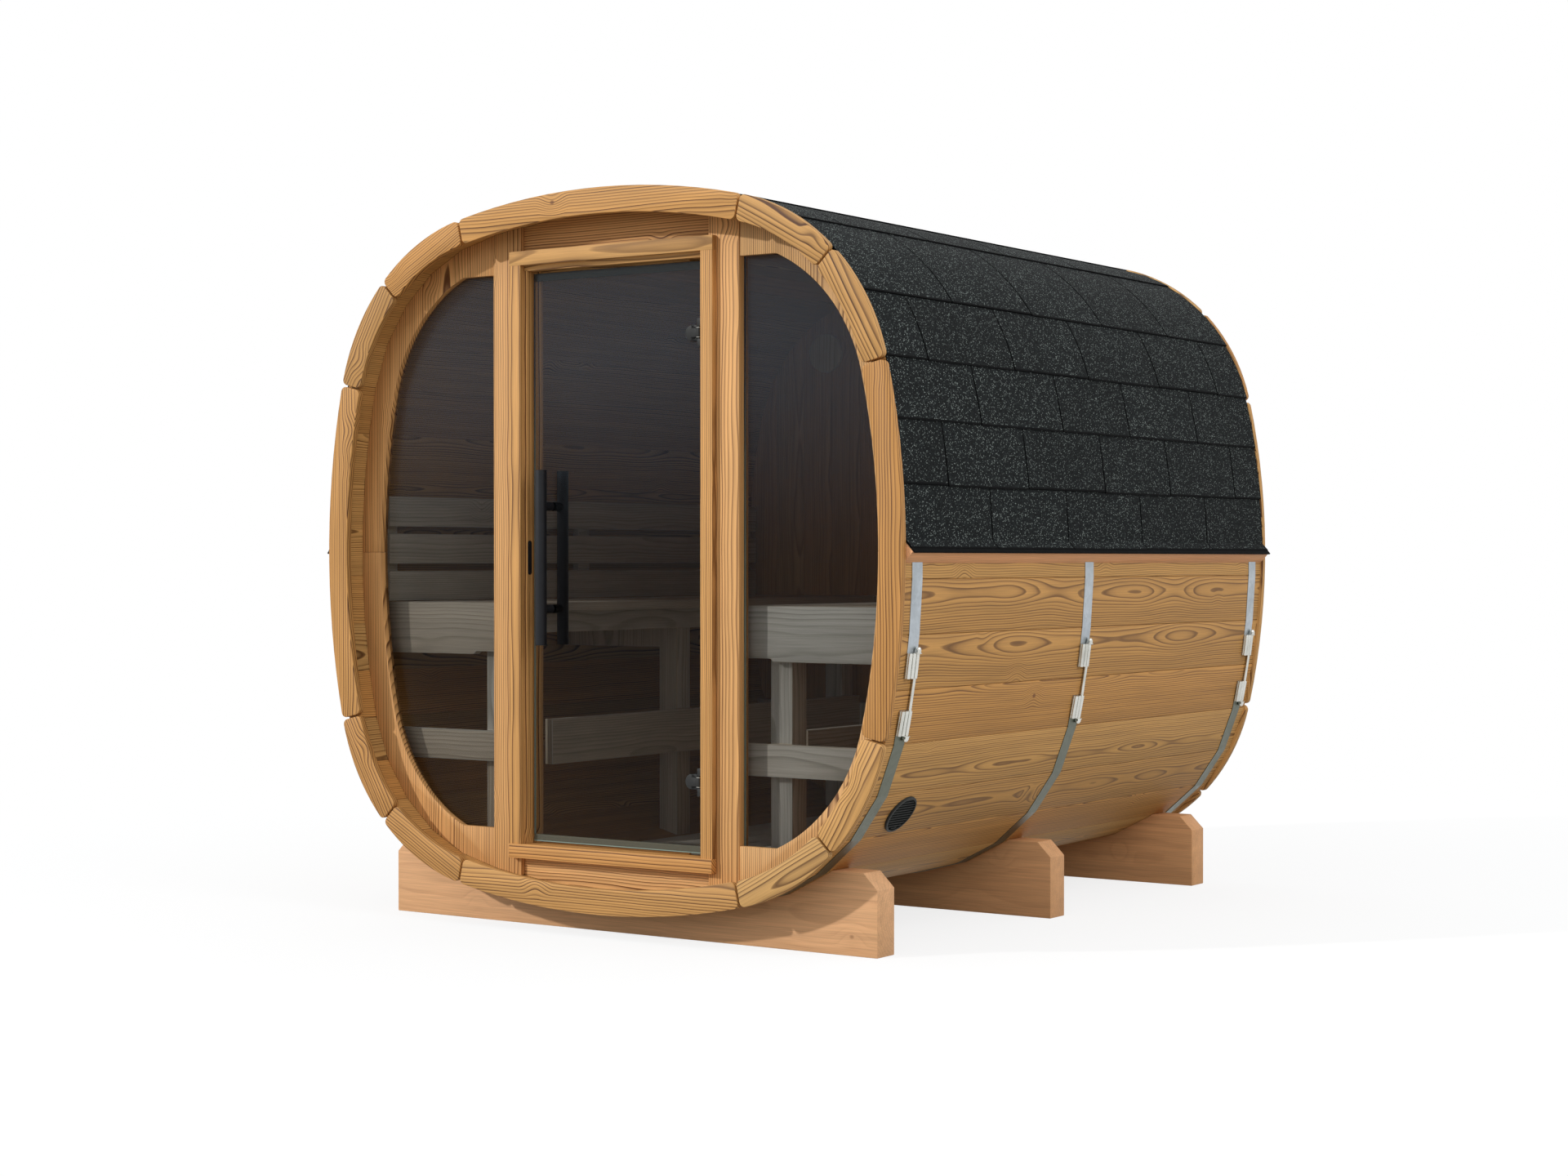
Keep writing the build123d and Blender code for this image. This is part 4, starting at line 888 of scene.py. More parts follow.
@dataclass(frozen=True)
class SectionOutline:
    """Soft-square outline of the barrel: flat-radius sides and tighter corners."""

    half: float
    axis_height: float
    side_radius: float = 2.248
    corner_radius: float = 0.598
    stave_inset: float = 0.008

    @property
    def side_centre(self) -> float:
        """Where the arc of a side is centred, measured from the axis."""
        return self.half - self.side_radius

    @property
    def corner_centre(self) -> float:
        """Distance of a corner's centre from the axis, both ways."""
        reach = self.side_radius - self.corner_radius
        return (self.side_centre + math.sqrt(2 * reach**2 - self.side_centre**2)) / 2

    @property
    def side_angle(self) -> float:
        """Half the angle that a side's arc turns through."""
        return math.asin(self.corner_centre / (self.side_radius - self.corner_radius))

    @property
    def quarter_run(self) -> float:
        """Length of a quarter of the staves' outside."""
        return 2 * self._flat_run() + self._corner_run()

    def _flat_run(self) -> float:
        """Length of half a side of the staves' outside."""
        return (self.side_radius - self.stave_inset) * self.side_angle

    def _corner_run(self) -> float:
        """Length of a corner of the staves' outside."""
        return (self.corner_radius - self.stave_inset) * (math.pi / 2 - 2 * self.side_angle)

    def angle_at(self, run: float) -> float:
        """Lean of the outward normal from up, clockwise, at a run along the staves from the top middle."""
        turns = math.floor(run / self.quarter_run)
        rest = run - turns * self.quarter_run
        flat = min(rest, self._flat_run()) + max(0.0, rest - self._flat_run() - self._corner_run())
        corner = min(max(rest - self._flat_run(), 0.0), self._corner_run())
        lean = flat / (self.side_radius - self.stave_inset) + corner / (self.corner_radius - self.stave_inset)
        return turns * math.pi / 2 + lean

    def point(self, run: float, inset: float) -> Point:
        """Point of the outline.

        Args:
            run: Length along the staves from the top middle, clockwise seen from the front.
            inset: Distance in from the rings' outside.

        Returns:
            Its x and z in the frame.
        """
        angle = self.angle_at(run)
        turns = math.floor(angle / (math.pi / 2))
        lean = angle - turns * math.pi / 2
        if lean <= self.side_angle:
            x, z, radius = 0.0, self.side_centre, self.side_radius
        elif lean <= math.pi / 2 - self.side_angle:
            x, z, radius = self.corner_centre, self.corner_centre, self.corner_radius
        else:
            x, z, radius = self.side_centre, 0.0, self.side_radius
        x += (radius - inset) * math.sin(lean)
        z += (radius - inset) * math.cos(lean)
        for _ in range(turns % 4):
            x, z = z, -x
        return (x, z + self.axis_height)

    def normal(self, run: float) -> Vector:
        """Outward normal at a run."""
        angle = self.angle_at(run)
        return Vector((math.sin(angle), 0.0, math.cos(angle)))


def extruded(
    solid: Solid, profile: Sequence[Point], front: float, back: float
) -> list[Face]:
    """Adds a prism along the barrel to a shape.

    Args:
        solid: Shape to add to.
        profile: Corner points as x and z.
        front: Y of its front end.
        back: Y of its back end.

    Returns:
        Its faces.
    """
    corners = [solid.verts.new((x, front, z)) for x, z in profile]
    face = solid.faces.new(corners)
    swept = bmesh.ops.extrude_face_region(solid, geom=[face])["geom"]
    moved = [item for item in swept if isinstance(item, Vert)]
    bmesh.ops.translate(solid, verts=moved, vec=(0.0, back - front, 0.0))
    return list({face for vert in corners + moved for face in vert.link_faces})


def add_box(solid: Solid, low: Sequence[float], high: Sequence[float]) -> list[Vert]:
    """Adds a box between two corners and returns its vertices."""
    size = [top - bottom for bottom, top in zip(low, high)]
    middle = [(top + bottom) / 2 for bottom, top in zip(low, high)]
    place = Matrix.Translation(middle) @ Matrix.Diagonal((*size, 1.0))
    return bmesh.ops.create_cube(solid, size=1.0, matrix=place)["verts"]


def add_rod(
    solid: Solid, start: Vector, end: Vector, radius: float, segments: int = 24, taper: float = 1.0
) -> list[Vert]:
    """Adds a round rod between two points.

    Args:
        solid: Shape to add to.
        start: Middle of its first end.
        end: Middle of its other end.
        radius: Radius at the first end.
        segments: Sides round it.
        taper: Radius at the other end as a share of the first.

    Returns:
        Its vertices.
    """
    run = end - start
    place = Matrix.Translation((start + end) / 2) @ run.to_track_quat("Z", "Y").to_matrix().to_4x4()
    return bmesh.ops.create_cone(
        solid,
        cap_ends=True,
        segments=segments,
        radius1=radius,
        radius2=radius * taper,
        depth=run.length,
        matrix=place,
    )["verts"]


def add_eased_rod(
    solid: Solid, ends: Sequence[Vector], radius: float, segments: int, ease: float, steps: int
) -> None:
    """Adds a round rod with eased rims.

    Args:
        solid: Shape to add to.
        ends: Middles of its two ends.
        radius: Its radius.
        segments: Sides round it.
        ease: Width of the rounding at its rims.
        steps: Steps across that.
    """
    verts = add_rod(solid, *ends, radius, segments)
    rims = {edge for vert in verts for edge in vert.link_edges if edge.calc_face_angle(0.0) > RIM_ANGLE}
    bevel_edges(solid, rims, ease, steps)


@dataclass
class StaveShell:
    """Flat staves in eight groups round the section, their edges eased."""

    shop: Workshop
    outline: SectionOutline
    edge: float = 0.0008
    inner_rift: float = 0.11
    groups: tuple[str, ...] = (
        "top",
        "upper_right",
        "right",
        "lower_right",
        "floor",
        "lower_left",
        "left",
        "upper_left",
    )

    def build(self) -> None:
        """Makes the staves of every group."""
        for group in self.groups:
            node = f"staves_{group}"
            solid = self.shop.cad_solid(node)
            ease_edges(solid, self.edge, 1)
            mark_boards(solid, Grain.ALONG_Y)
            self._straighten_insides(solid)
            self.shop.finish(f"{node}_boards", solid, "stave_wood", [node])

    def _straighten_insides(self, solid: Solid) -> None:
        """Moves the grain of the inner faces away from the pith, so that it runs there in straight lines.

        Args:
            solid: Marked staves.
        """
        layer = solid.verts.layers.float_vector["grain"]
        for board in islands(solid):
            middle = sum((vert.co for vert in board), Vector()) / len(board)
            outward = Vector((middle.x, 0.0, middle.z - self.outline.axis_height))
            way = sum((vert.co - middle).dot(outward) * vert[layer].z for vert in board)
            for vert in board:
                if vert[layer].z * way < 0:
                    vert[layer].y += self.inner_rift


@dataclass
class TrimRings:
    """Front and back rings of curved boards with rounded ends and eased faces."""

    shop: Workshop
    end_round: float = 0.006
    face_round: float = 0.0022
    end_angle: float = math.radians(20)

    def build(self) -> None:
        """Makes both rings."""
        for node in ("front_trim_ring", "back_trim_ring"):
            solid = self.shop.cad_solid(node)
            bevel_edges(solid, self._end_corners(solid), self.end_round, 4)
            ease_edges(solid, self.face_round, 2, SQUARE_ANGLE)
            mark_boards(solid, Grain.LONGEST)
            self.shop.finish(f"{node}_boards", solid, "trim_wood", [node])

    def _end_corners(self, solid: Solid) -> list[Edge]:
        """Corner edges at the ends of the boards."""
        corners = []
        for edge in solid.edges:
            run = (edge.verts[1].co - edge.verts[0].co).normalized()
            turned = len(edge.link_faces) == 2 and edge.calc_face_angle(0.0) > self.end_angle
            if turned and abs(run.y) > ALIGNED:
                corners.append(edge)
        return corners


@dataclass
class PlainTimber:
    """Timbers whose CAD shape only needs eased edges, grain and a few saw cuts."""

    shop: Workshop
    wall_board: float = 0.12
    wall_gap: float = 0.0006
    wall_edge: float = 0.0014

    def build(self) -> None:
        """Makes battens, front wall, door frame, floor, benches, backrest and back wall."""
        timbers = (
            (("eave_battens",), "frame_wood", Grain.ALONG_Y, 0.001),
            (("front_post_left", "front_post_right"), "wall_wood", Grain.ALONG_Z, 0.0025),
            (("front_header", "front_apron"), "wall_wood", Grain.ALONG_X, 0.0015),
            (("door_jamb_left", "door_jamb_right"), "frame_wood", Grain.ALONG_Z, 0.0015),
            (("door_frame_head", "door_frame_sill"), "frame_wood", Grain.ALONG_X, 0.0015),
            (("floor_grating",), "pale_wood", Grain.ALONG_Y, 0.002),
            (("bench_slats_left", "bench_slats_right"), "pale_wood", Grain.ALONG_Y, 0.003),
            (("bench_frame_left", "bench_frame_right"), "pale_wood", Grain.BY_FACE, 0.002),
            (("backrest_left",), "pale_wood", Grain.ALONG_Y, 0.003),
        )
        for nodes, slot, grain, edge in timbers:
            for node in nodes:
                solid = self.shop.cad_solid(node)
                ease_edges(solid, edge)
                mark_boards(solid, grain)
                # The eave battens take the paler batten wood, which is painted light against the shade under
                # the eave.
                looks = ("batten_wood_painted_light",) if node == "eave_battens" else ()
                self.shop.finish(f"{node}_timber", solid, slot, [node], looks=looks)
        self._sawn_walls()

    def _sawn_walls(self) -> None:
        """Makes the front panels of two boards each and the back wall of upright boards."""
        low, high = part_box("back_wall")
        count = round((high.x - low.x) / self.wall_board)
        pitch = (high.x - low.x) / count
        upright = [low.x + pitch * number for number in range(1, count)]
        ring_low, ring_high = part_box("front_trim_ring")
        middle = [(ring_low.z + ring_high.z) / 2]
        for node, look, across, cuts in (
            ("front_panel_left", "wall_wood", Vector((0, 0, 1)), middle),
            ("front_panel_right", "wall_wood", Vector((0, 0, 1)), middle),
            ("back_wall", "back_wall_wood", Vector((1, 0, 0)), upright),
        ):
            solid = sawn(self.shop.cad_solid(node), across, cuts, self.wall_gap)
            ease_edges(solid, self.wall_edge)
            mark_boards(solid, Grain.ALONG_Z)
            self.shop.finish(f"{node}_boards", solid, "wall_wood", [node], looks=(look,))


@dataclass
class Cradles:
    """Cradle boards with cut corners, hollowed to the underside of the staves.

    They stand higher than their CAD nodes and have larger cuts, as in the photograph.
    """

    shop: Workshop
    outline: SectionOutline
    staves: int = 46
    top: float = 0.221
    cut: float = 0.043
    thickness: float = 0.084
    play: float = 0.0003
    edge: float = 0.002

    def build(self) -> None:
        """Makes the three boards at the places of their CAD nodes."""
        for node in ("cradle_front", "cradle_middle", "cradle_back"):
            low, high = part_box(node)
            front = (low.y + high.y - self.thickness) / 2
            solid = bmesh.new()
            extruded(solid, self._profile(high.x), front, front + self.thickness)
            face_outwards(solid)
            ease_edges(solid, self.edge)
            mark_boards(solid, Grain.ALONG_X)
            self.shop.finish(f"{node}_board", solid, "cradle_wood", [node])

    def _profile(self, half: float) -> list[Point]:
        """Corner points of a board.

        Args:
            half: Half its length.

        Returns:
            Points as x and z, anticlockwise from the lower right.
        """
        run = 4 * self.outline.quarter_run / self.staves
        inset = self.outline.stave_inset - self.play
        corners = [self.outline.point(run * number, inset) for number in range(self.staves)]
        hollow = []
        for start, end in zip(corners, corners[1:] + corners[:1]):
            if (start[1] - self.top) * (end[1] - self.top) < 0:
                share = (self.top - start[1]) / (end[1] - start[1])
                hollow.append((start[0] + (end[0] - start[0]) * share, self.top))
            if end[1] < self.top:
                hollow.append(end)
        shoulder = half - self.cut
        right = [(half, 0.0), (half, self.top - self.cut), (shoulder, self.top)]
        return right + hollow + [(-x, z) for x, z in reversed(right)]


@dataclass
class ShingleRoof:
    """Lapped courses of tabs on a dark underlay, a starter strip at the eaves and caps on the ridge."""

    shop: Workshop
    outline: SectionOutline
    courses: tuple[float, ...] = (0.111, 0.221, 0.327, 0.448, 0.636, 0.746, 0.856)
    kick_run: float = 0.029
    ridge_half: float = 0.120
    base_inset: float = 0.0059
    underlay_inset: float = 0.0052
    butt_inset: float = 0.0005
    head_inset: float = 0.0045
    tab_width: float = 0.438
    tab_gap: float = 0.006
    first_gap: float = 0.435
    tab_jitter: float = 0.018
    butt_jitter: float = 0.002
    starter_show: float = 0.012
    painted_shadow_line: float = 0.005
    step: float = 0.036
    cap_length: float = 0.31
    cap_gap: float = 0.002
    cap_steps: int = 8
    ridge_play: float = 0.0003
    lip: float = 0.0028
    kick_sink: float = 0.0006
    butt_lift: float = 0.0012
    butt_lean: float = 0.7
    least_start: float = 0.02
    least_tab: float = 0.06
    front: float = field(init=False)
    back: float = field(init=False)
    tips: dict[int, Point] = field(init=False, default_factory=dict)

    def build(self) -> None:
        """Makes both slopes and the ridge."""
        low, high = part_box("shingles_right")
        self.front, self.back = low.y, high.y
        for side, node in ((1, "shingles_right"), (-1, "shingles_left")):
            solid = bmesh.new()
            self._underlay(solid, side, node)
            for face in solid.faces:
                face.material_index = 1
            self._courses(solid, side)
            face_outwards(solid)
            mark_boards(solid, Grain.ALONG_Y)
            self.shop.finish(f"{node}_tabs", solid, "shingle", [node], looks=("shingle", "bitumen_and_painted_shadow"))
        self._ridge()

    @property
    def _top_run(self) -> float:
        """Run from the middle of a side up to the ridge strip."""
        return self.outline.quarter_run - self.ridge_half - self.ridge_play

    def _point(self, side: int, rise: float, inset: float) -> Point:
        """Point of a slope at a rise above the middle of its side."""
        x, z = self.outline.point(self.outline.quarter_run - rise, inset)
        return (side * x, z)

    def _strip(self, side: int, low: float, high: float, start: float, end: float) -> list[Point]:
        """Points up a slope.

        Args:
            side: 1 for the right slope, -1 for the left.
            low: Rise at the lower end.
            high: Rise at the upper end.
            start: Inset at the lower end.
            end: Inset at the upper end.

        Returns:
            Points from the lower end up.
        """
        steps = max(2, round((high - low) / self.step))
        points = []
        for share in (number / steps for number in range(steps + 1)):
            points.append(self._point(side, low + (high - low) * share, start + (end - start) * share))
        return points

    def _tip(self, side: int, node: str) -> Point:
        """Outermost point of a slope's eave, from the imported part."""
        low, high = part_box(node)
        mesh = self.shop.nodes[node].data
        far = high.x if side > 0 else low.x
        heights = [vert.co.z for vert in mesh.vertices if abs(vert.co.x - far) < TOUCHING]
        return (far, max(heights))

    def _underlay(self, solid: Solid, side: int, node: str) -> None:
        """Adds the underlay, whose lower end is the starter strip over the eave batten."""
        x, z = self.tips[side] = self._tip(side, node)
        kick = self._point(side, self.kick_run, self.butt_inset + self.kick_sink)
        outer = self._strip(side, self.kick_run, self._top_run, self.underlay_inset, self.underlay_inset)
        inner = self._strip(side, self.kick_run, self._top_run, self.base_inset, self.base_inset)
        lip = (x - side * self.lip, z - self.lip)
        extruded(solid, [lip, (x, z), kick, *outer[1:], *inner[::-1]], self.front, self.back)

    def _courses(self, solid: Solid, side: int) -> None:
        """Adds the tabs of every course of a slope."""
        edges = [self.kick_run] + [share * self._top_run for share in self.courses] + [self._top_run]
        dice = random.Random(f"shingle tabs {side}")
        for number, (low, high) in enumerate(zip(edges[:-1], edges[1:])):
            offset = self.first_gap if number % 2 == 0 else self.first_gap - self.tab_width / 2
            front = self.front
            while front < self.back - self.least_start:
                gap = self.front + offset + dice.uniform(-self.tab_jitter, self.tab_jitter)
                back = min(gap, self.back)
                if self.back - back < self.least_tab:
                    back = self.back
                drop = dice.uniform(-self.butt_jitter, self.butt_jitter)
                end = back if back == self.back else back - self.tab_gap
                tab = self._tab(side, low, high, drop, number == 0)
                self._paint_bitumen_and_shadow(extruded(solid, tab, front, end), tab)
                front = back
                offset += self.tab_width

    @staticmethod
    def _paint_bitumen_and_shadow(faces: list[Face], tab: list[Point]) -> None:
        """Bares the bitumen on a tab's cut sides and its butt, and paints a dark shadow line on the strip
        just above the butt.

        Args:
            faces: Faces of the tab.
            tab: Its profile, which starts at the butt.
        """
        bare = [Vector(point) for point in (tab[0], tab[1], tab[-1])]
        for face in faces:
            corners = [Vector((vert.co.x, vert.co.z)) for vert in face.verts]
            gaps = [min((corner - point).length for point in bare) for corner in corners]
            if len(corners) > 4 or max(gaps) < MERGE_DISTANCE:
                face.material_index = 1

    def _tab(self, side: int, low: float, high: float, drop: float, first: bool) -> list[Point]:
        """Profile of a tab, thick at its butt and thin under the next course.

        Args:
            side: 1 for the right slope, -1 for the left.
            low: Rise of its butt.
            high: Rise of its head.
            drop: Small step of its butt out of line.
            first: Whether it is in the lowest course, which turns out over the eave.

        Returns:
            Corner points.
        """
        start = low if first else low + drop
        outer = self._strip(side, start, high, self.butt_inset, self.head_inset)
        inner = self._strip(side, start, high, self.underlay_inset, self.underlay_inset)
        if not first:
            # The strip from the butt up to this line takes the painted shadow line.
            line = self._point(side, start + self.painted_shadow_line, self.butt_inset)
            return [outer[0], line, *outer[1:], *inner[::-1]]
        tip = Vector(self.tips[side])
        kick = Vector(outer[0])
        share = (self.starter_show + drop) / (kick - tip).length
        butt = tip.lerp(kick, share)
        out = Vector((side * self.butt_lean, self.butt_lean)) * self.butt_lift
        # The strip from the butt up to this line takes the painted shadow line.
        line = butt.lerp(kick, self.painted_shadow_line / (kick - butt).length) + out
        under = self._point(side, low, self.butt_inset + self.kick_sink)
        return [tuple(butt + out), tuple(line), *outer, *inner[:0:-1], under, tuple(butt - out * 0.5)]

    def _ridge(self) -> None:
        """Makes the caps that close the ridge."""
        solid = bmesh.new()
        steps = self.cap_steps
        runs = [self.ridge_half * (2 * number / steps - 1) for number in range(steps + 1)]
        count = round((self.back - self.front) / self.cap_length)
        length = (self.back - self.front) / count
        for number in range(count):
            outer = [self.outline.point(run, self.butt_inset) for run in runs]
            inner = [self.outline.point(run, self.base_inset) for run in runs[::-1]]
            front = self.front + number * length
            end = front + length - (self.cap_gap if number < count - 1 else 0.0)
            extruded(solid, outer + inner, front, end)
        face_outwards(solid)
        mark_boards(solid, Grain.ALONG_Y)
        self.shop.finish("shingle_ridge_caps", solid, "shingle", ["shingle_ridge"])


@dataclass
class HoopSet:
    """Galvanised hoops and the zinc tensioners that draw them tight."""

    shop: Workshop
    outline: SectionOutline
    clamp_top: float = 0.262
    clamp_length: float = 0.066
    clamp_spacing: float = 0.150
    clamp_width: float = 0.056
    plate: float = 0.004
    ridge_radius: float = 0.0062
    ridge_places: tuple[float, ...] = (-0.0205, -0.003, 0.014)
    bolt_place: float = 0.014
    bolt_radius: float = 0.0052
    nut_radius: float = 0.0098
    nut_height: float = 0.007
    washer: float = 0.002
    washer_share: float = 1.15
    dome_share: float = 0.86
    ridge_seat: float = 0.35
    plate_edge: float = 0.0012
    ridge_edge: float = 0.001
    skin_inset: float = 0.0062

    def build(self) -> None:
        """Finishes the hoops and makes the tensioners on both sides."""
        # The galvanised finish carries painted shade on the hoops' lower run.
        self.shop.paint("steel_bands", "galvanised")
        solid = bmesh.new()
        for middle in self._band_middles():
            for side in (1, -1):
                self._tensioner(solid, middle, side)
        face_outwards(solid)
        self.shop.finish("tensioner_clamps", solid, "zinc", ["tensioners"])

    def _band_middles(self) -> list[float]:
        """Y of the middle of each hoop."""
        mesh = self.shop.nodes["steel_bands"].data
        levels = sorted({round(vert.co.y, 4) for vert in mesh.vertices})
        return [(levels[i] + levels[i + 1]) / 2 for i in range(0, len(levels), 2)]

    def _place(self, middle: float, run: float, side: int) -> Matrix:
        """Frame on a hoop: x along the barrel, y down the hoop, z outwards."""
        x, z = self.outline.point(self.outline.quarter_run + run, self.skin_inset)
        out = self.outline.normal(self.outline.quarter_run + run)
        out.x *= side
        along = Vector((0.0, 1.0, 0.0))
        down = Vector((-side * abs(out.z), 0.0, -abs(out.x))).normalized()
        if abs(down.dot(out)) > SQUARE_PLAY:
            down = (down - out * down.dot(out)).normalized()
        frame = Matrix((along, down, out)).transposed().to_4x4()
        return Matrix.Translation((side * x, middle, z)) @ frame

    def _tensioner(self, solid: Solid, middle: float, side: int) -> None:
        """Adds one pair of clamps with the bolt between them."""
        half = self.clamp_length / 2
        level = self.plate + self.ridge_radius * self.ridge_seat
        places = [
            self._place(middle, self.clamp_top + half + shift, side) for shift in (0.0, self.clamp_spacing)
        ]
        for place in places:
            self._clamp(solid, place, level)
        axis = Vector((self.bolt_place, 0.0, level))
        top = places[0] @ (axis - Vector((0.0, half, 0.0)))
        bottom = places[1] @ (axis + Vector((0.0, half, 0.0)))
        add_rod(solid, top, bottom, self.bolt_radius, segments=16)
        run = (bottom - top).normalized()
        for end, way in ((top, -1), (bottom, 1)):
            self._nut(solid, end, run * way)

    def _clamp(self, solid: Solid, place: Matrix, level: float) -> None:
        """Adds a clamp: a folded plate with three rolled ridges along the hoop."""
        half = self.clamp_length / 2
        part = bmesh.new()
        add_box(part, (-self.clamp_width / 2, -half, 0.0), (self.clamp_width / 2, half, self.plate))
        ease_edges(part, self.plate_edge)
        for shift in self.ridge_places:
            ends = [Vector((shift, end, level)) for end in (-half, half)]
            add_eased_rod(part, ends, self.ridge_radius, 20, self.ridge_edge, steps=2)
        bmesh.ops.transform(part, matrix=place, verts=part.verts)
        join(solid, part)

    def _nut(self, solid: Solid, end: Vector, out: Vector) -> None:
        """Adds an acorn nut on a washer at an end of a bolt."""
        washer = end + out * self.washer
        shoulder = washer + out * self.nut_height
        add_rod(solid, end, washer, self.nut_radius * self.washer_share)
        add_rod(solid, washer, shoulder, self.nut_radius, segments=6)
        radius = self.nut_radius * self.dome_share
        dome = bmesh.ops.create_uvsphere(solid, u_segments=20, v_segments=10, radius=radius)["verts"]
        bmesh.ops.translate(solid, verts=dome, vec=shoulder)


@dataclass
class Vents:
    """Louvred air vent on the side, and the back wall's vent covers."""

    shop: Workshop
    rim: float = 0.006
    rim_ease: float = 0.3
    rim_seat: float = 0.5
    plate_share: float = 0.3
    round_steps: int = 64
    louvres: int = 12
    slat_half: float = 0.0006
    slat_share: float = 0.42
    slat_inset: float = 0.3
    slat_height: float = 0.62
    slat_tilt: float = math.radians(32)
    least_reach: float = 0.004
    disc_edge: float = 0.004

    def build(self) -> None:
        """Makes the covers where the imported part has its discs."""
        self.shop.finish("air_vent_cover", self._cover("air_vent"), "black_plastic", ["air_vent"])
        solid = self.shop.cad_solid("back_vent")
        ease_edges(solid, self.disc_edge, 3)
        mark_boards(solid, Grain.ALONG_Z)
        self.shop.finish("back_vent_discs", solid, "pale_wood", ["back_vent"])

    def _cover(self, node: str) -> Solid:
        """A round louvred cover in the place of a CAD disc."""
        points = np.array([vert.co for vert in self.shop.nodes[node].data.vertices])
        middle = points.mean(axis=0)
        out = Vector(np.linalg.eigh((points - middle).T @ (points - middle))[1][:, 0])
        if out.x < 0:
            out.negate()
        along = Vector((0.0, 1.0, 0.0))
        up = along.cross(out)
        if up.z < 0:
            up.negate()
            along.negate()
        reach = (points - middle) @ np.array(out)
        low, high = reach.min(), reach.max()
        radius = float(np.max(np.linalg.norm(points - middle - np.outer(reach, np.array(out)), axis=1)))
        frame = Matrix((along, up, out)).transposed().to_4x4()
        place = Matrix.Translation(Vector(middle) + out * float(low)) @ frame
        part = self._louvred_disc(radius, float(high - low))
        bmesh.ops.transform(part, matrix=place, verts=part.verts)
        return part

    def _louvred_disc(self, radius: float, depth: float) -> Solid:
        """A round cover lying on z = 0: back plate, raised rim and sloping slats.

        Args:
            radius: Outer radius.
            depth: Height of the rim.

        Returns:
            A new bmesh.
        """
        part = bmesh.new()
        plate = Vector((0, 0, depth * self.plate_share))
        add_rod(part, Vector((0, 0, 0)), plate, radius - self.rim * self.rim_seat, self.round_steps)
        profile = [part.verts.new((x, 0.0, z)) for x, z in self._rim_profile(radius, depth)]
        rim = bmesh.ops.contextual_create(part, geom=profile)["faces"]
        loop = list({edge for face in rim for edge in face.edges})
        bmesh.ops.delete(part, geom=rim, context="FACES_ONLY")
        bmesh.ops.spin(
            part,
            geom=profile + loop,
            cent=(0, 0, 0),
            axis=(0, 0, 1),
            angle=math.tau,
            steps=self.round_steps,
            use_merge=True,
        )
        inner = radius - self.rim
        pitch = 2 * inner / self.louvres
        for number in range(self.louvres):
            middle = -inner + (number + 0.5) * pitch
            reach = math.sqrt(max(inner**2 - (abs(middle) + pitch * self.slat_inset) ** 2, 0.0))
            if reach < self.least_reach:
                continue
            corner = Vector((reach, pitch * self.slat_share, self.slat_half))
            place = Matrix.Translation((0, middle, depth * self.slat_height))
            tilted = place @ Matrix.Rotation(self.slat_tilt, 4, "X")
            bmesh.ops.transform(part, verts=add_box(part, -corner, corner), matrix=tilted)
        bmesh.ops.remove_doubles(part, verts=part.verts, dist=MERGE_DISTANCE)
        face_outwards(part)
        return part

    def _rim_profile(self, radius: float, depth: float) -> list[Point]:
        """Corner points of the rim's section, its outer edge rounded."""
        inner = radius - self.rim
        ease = self.rim * self.rim_ease
        return [(inner, 0.0), (radius, 0.0), (radius, depth - ease), (radius - ease, depth), (inner, depth)]


@dataclass
class Glazing:
    """Tinted panes with a green cut edge in painted light, the door's with seals along its lower and upper
    edge and a painted highlight along its bottom rim.
    """

    shop: Workshop
    edge: float = 0.0008
    # Height of the bottom band that takes the painted highlight.
    rim: float = 0.003
    lower_seal: float = 0.020
    upper_seal: float = 0.022

    def build(self) -> None:
        """Makes both windows and the door's pane."""
        pane = ("tinted_glass", "glass_edge_painted_light")
        for node, body, looks in (
            ("front_glass_left", "cabin", pane),
            ("front_glass_right", "cabin", pane),
            ("door_glass", "door", (*pane, "lower_seal", "upper_seal")),
        ):
            solid = self.shop.cad_solid(node)
            ease_edges(solid, self.edge, 1, SQUARE_ANGLE)
            for face in solid.faces:
                face.material_index = 0 if abs(face.normal.y) > ALIGNED else 1
            if body == "door":
                self._seal(solid)
            self.shop.finish(f"{node}_pane", solid, "tinted_glass", [node], body, looks)

    def _seal(self, solid: Solid) -> None:
        """Sets off the seals, and below them a rim band in the edge finish: a painted highlight along the
        bottom arris.

        Args:
            solid: The door's pane.
        """
        heights = [vert.co.z for vert in solid.verts]
        rim = min(heights) + self.rim
        lower = min(heights) + self.lower_seal
        upper = max(heights) - self.upper_seal
        for level in (rim, lower, upper):
            cut_at(solid, Vector((0.0, 0.0, level)), Vector((0.0, 0.0, 1.0)))
        for face in solid.faces:
            height = face.calc_center_median().z
            # Painted highlight: the lowest band of the pane takes the pale edge finish.
            if height < rim:
                face.material_index = 1
            elif height < lower:
                face.material_index = 2
            elif height > upper:
                face.material_index = 3


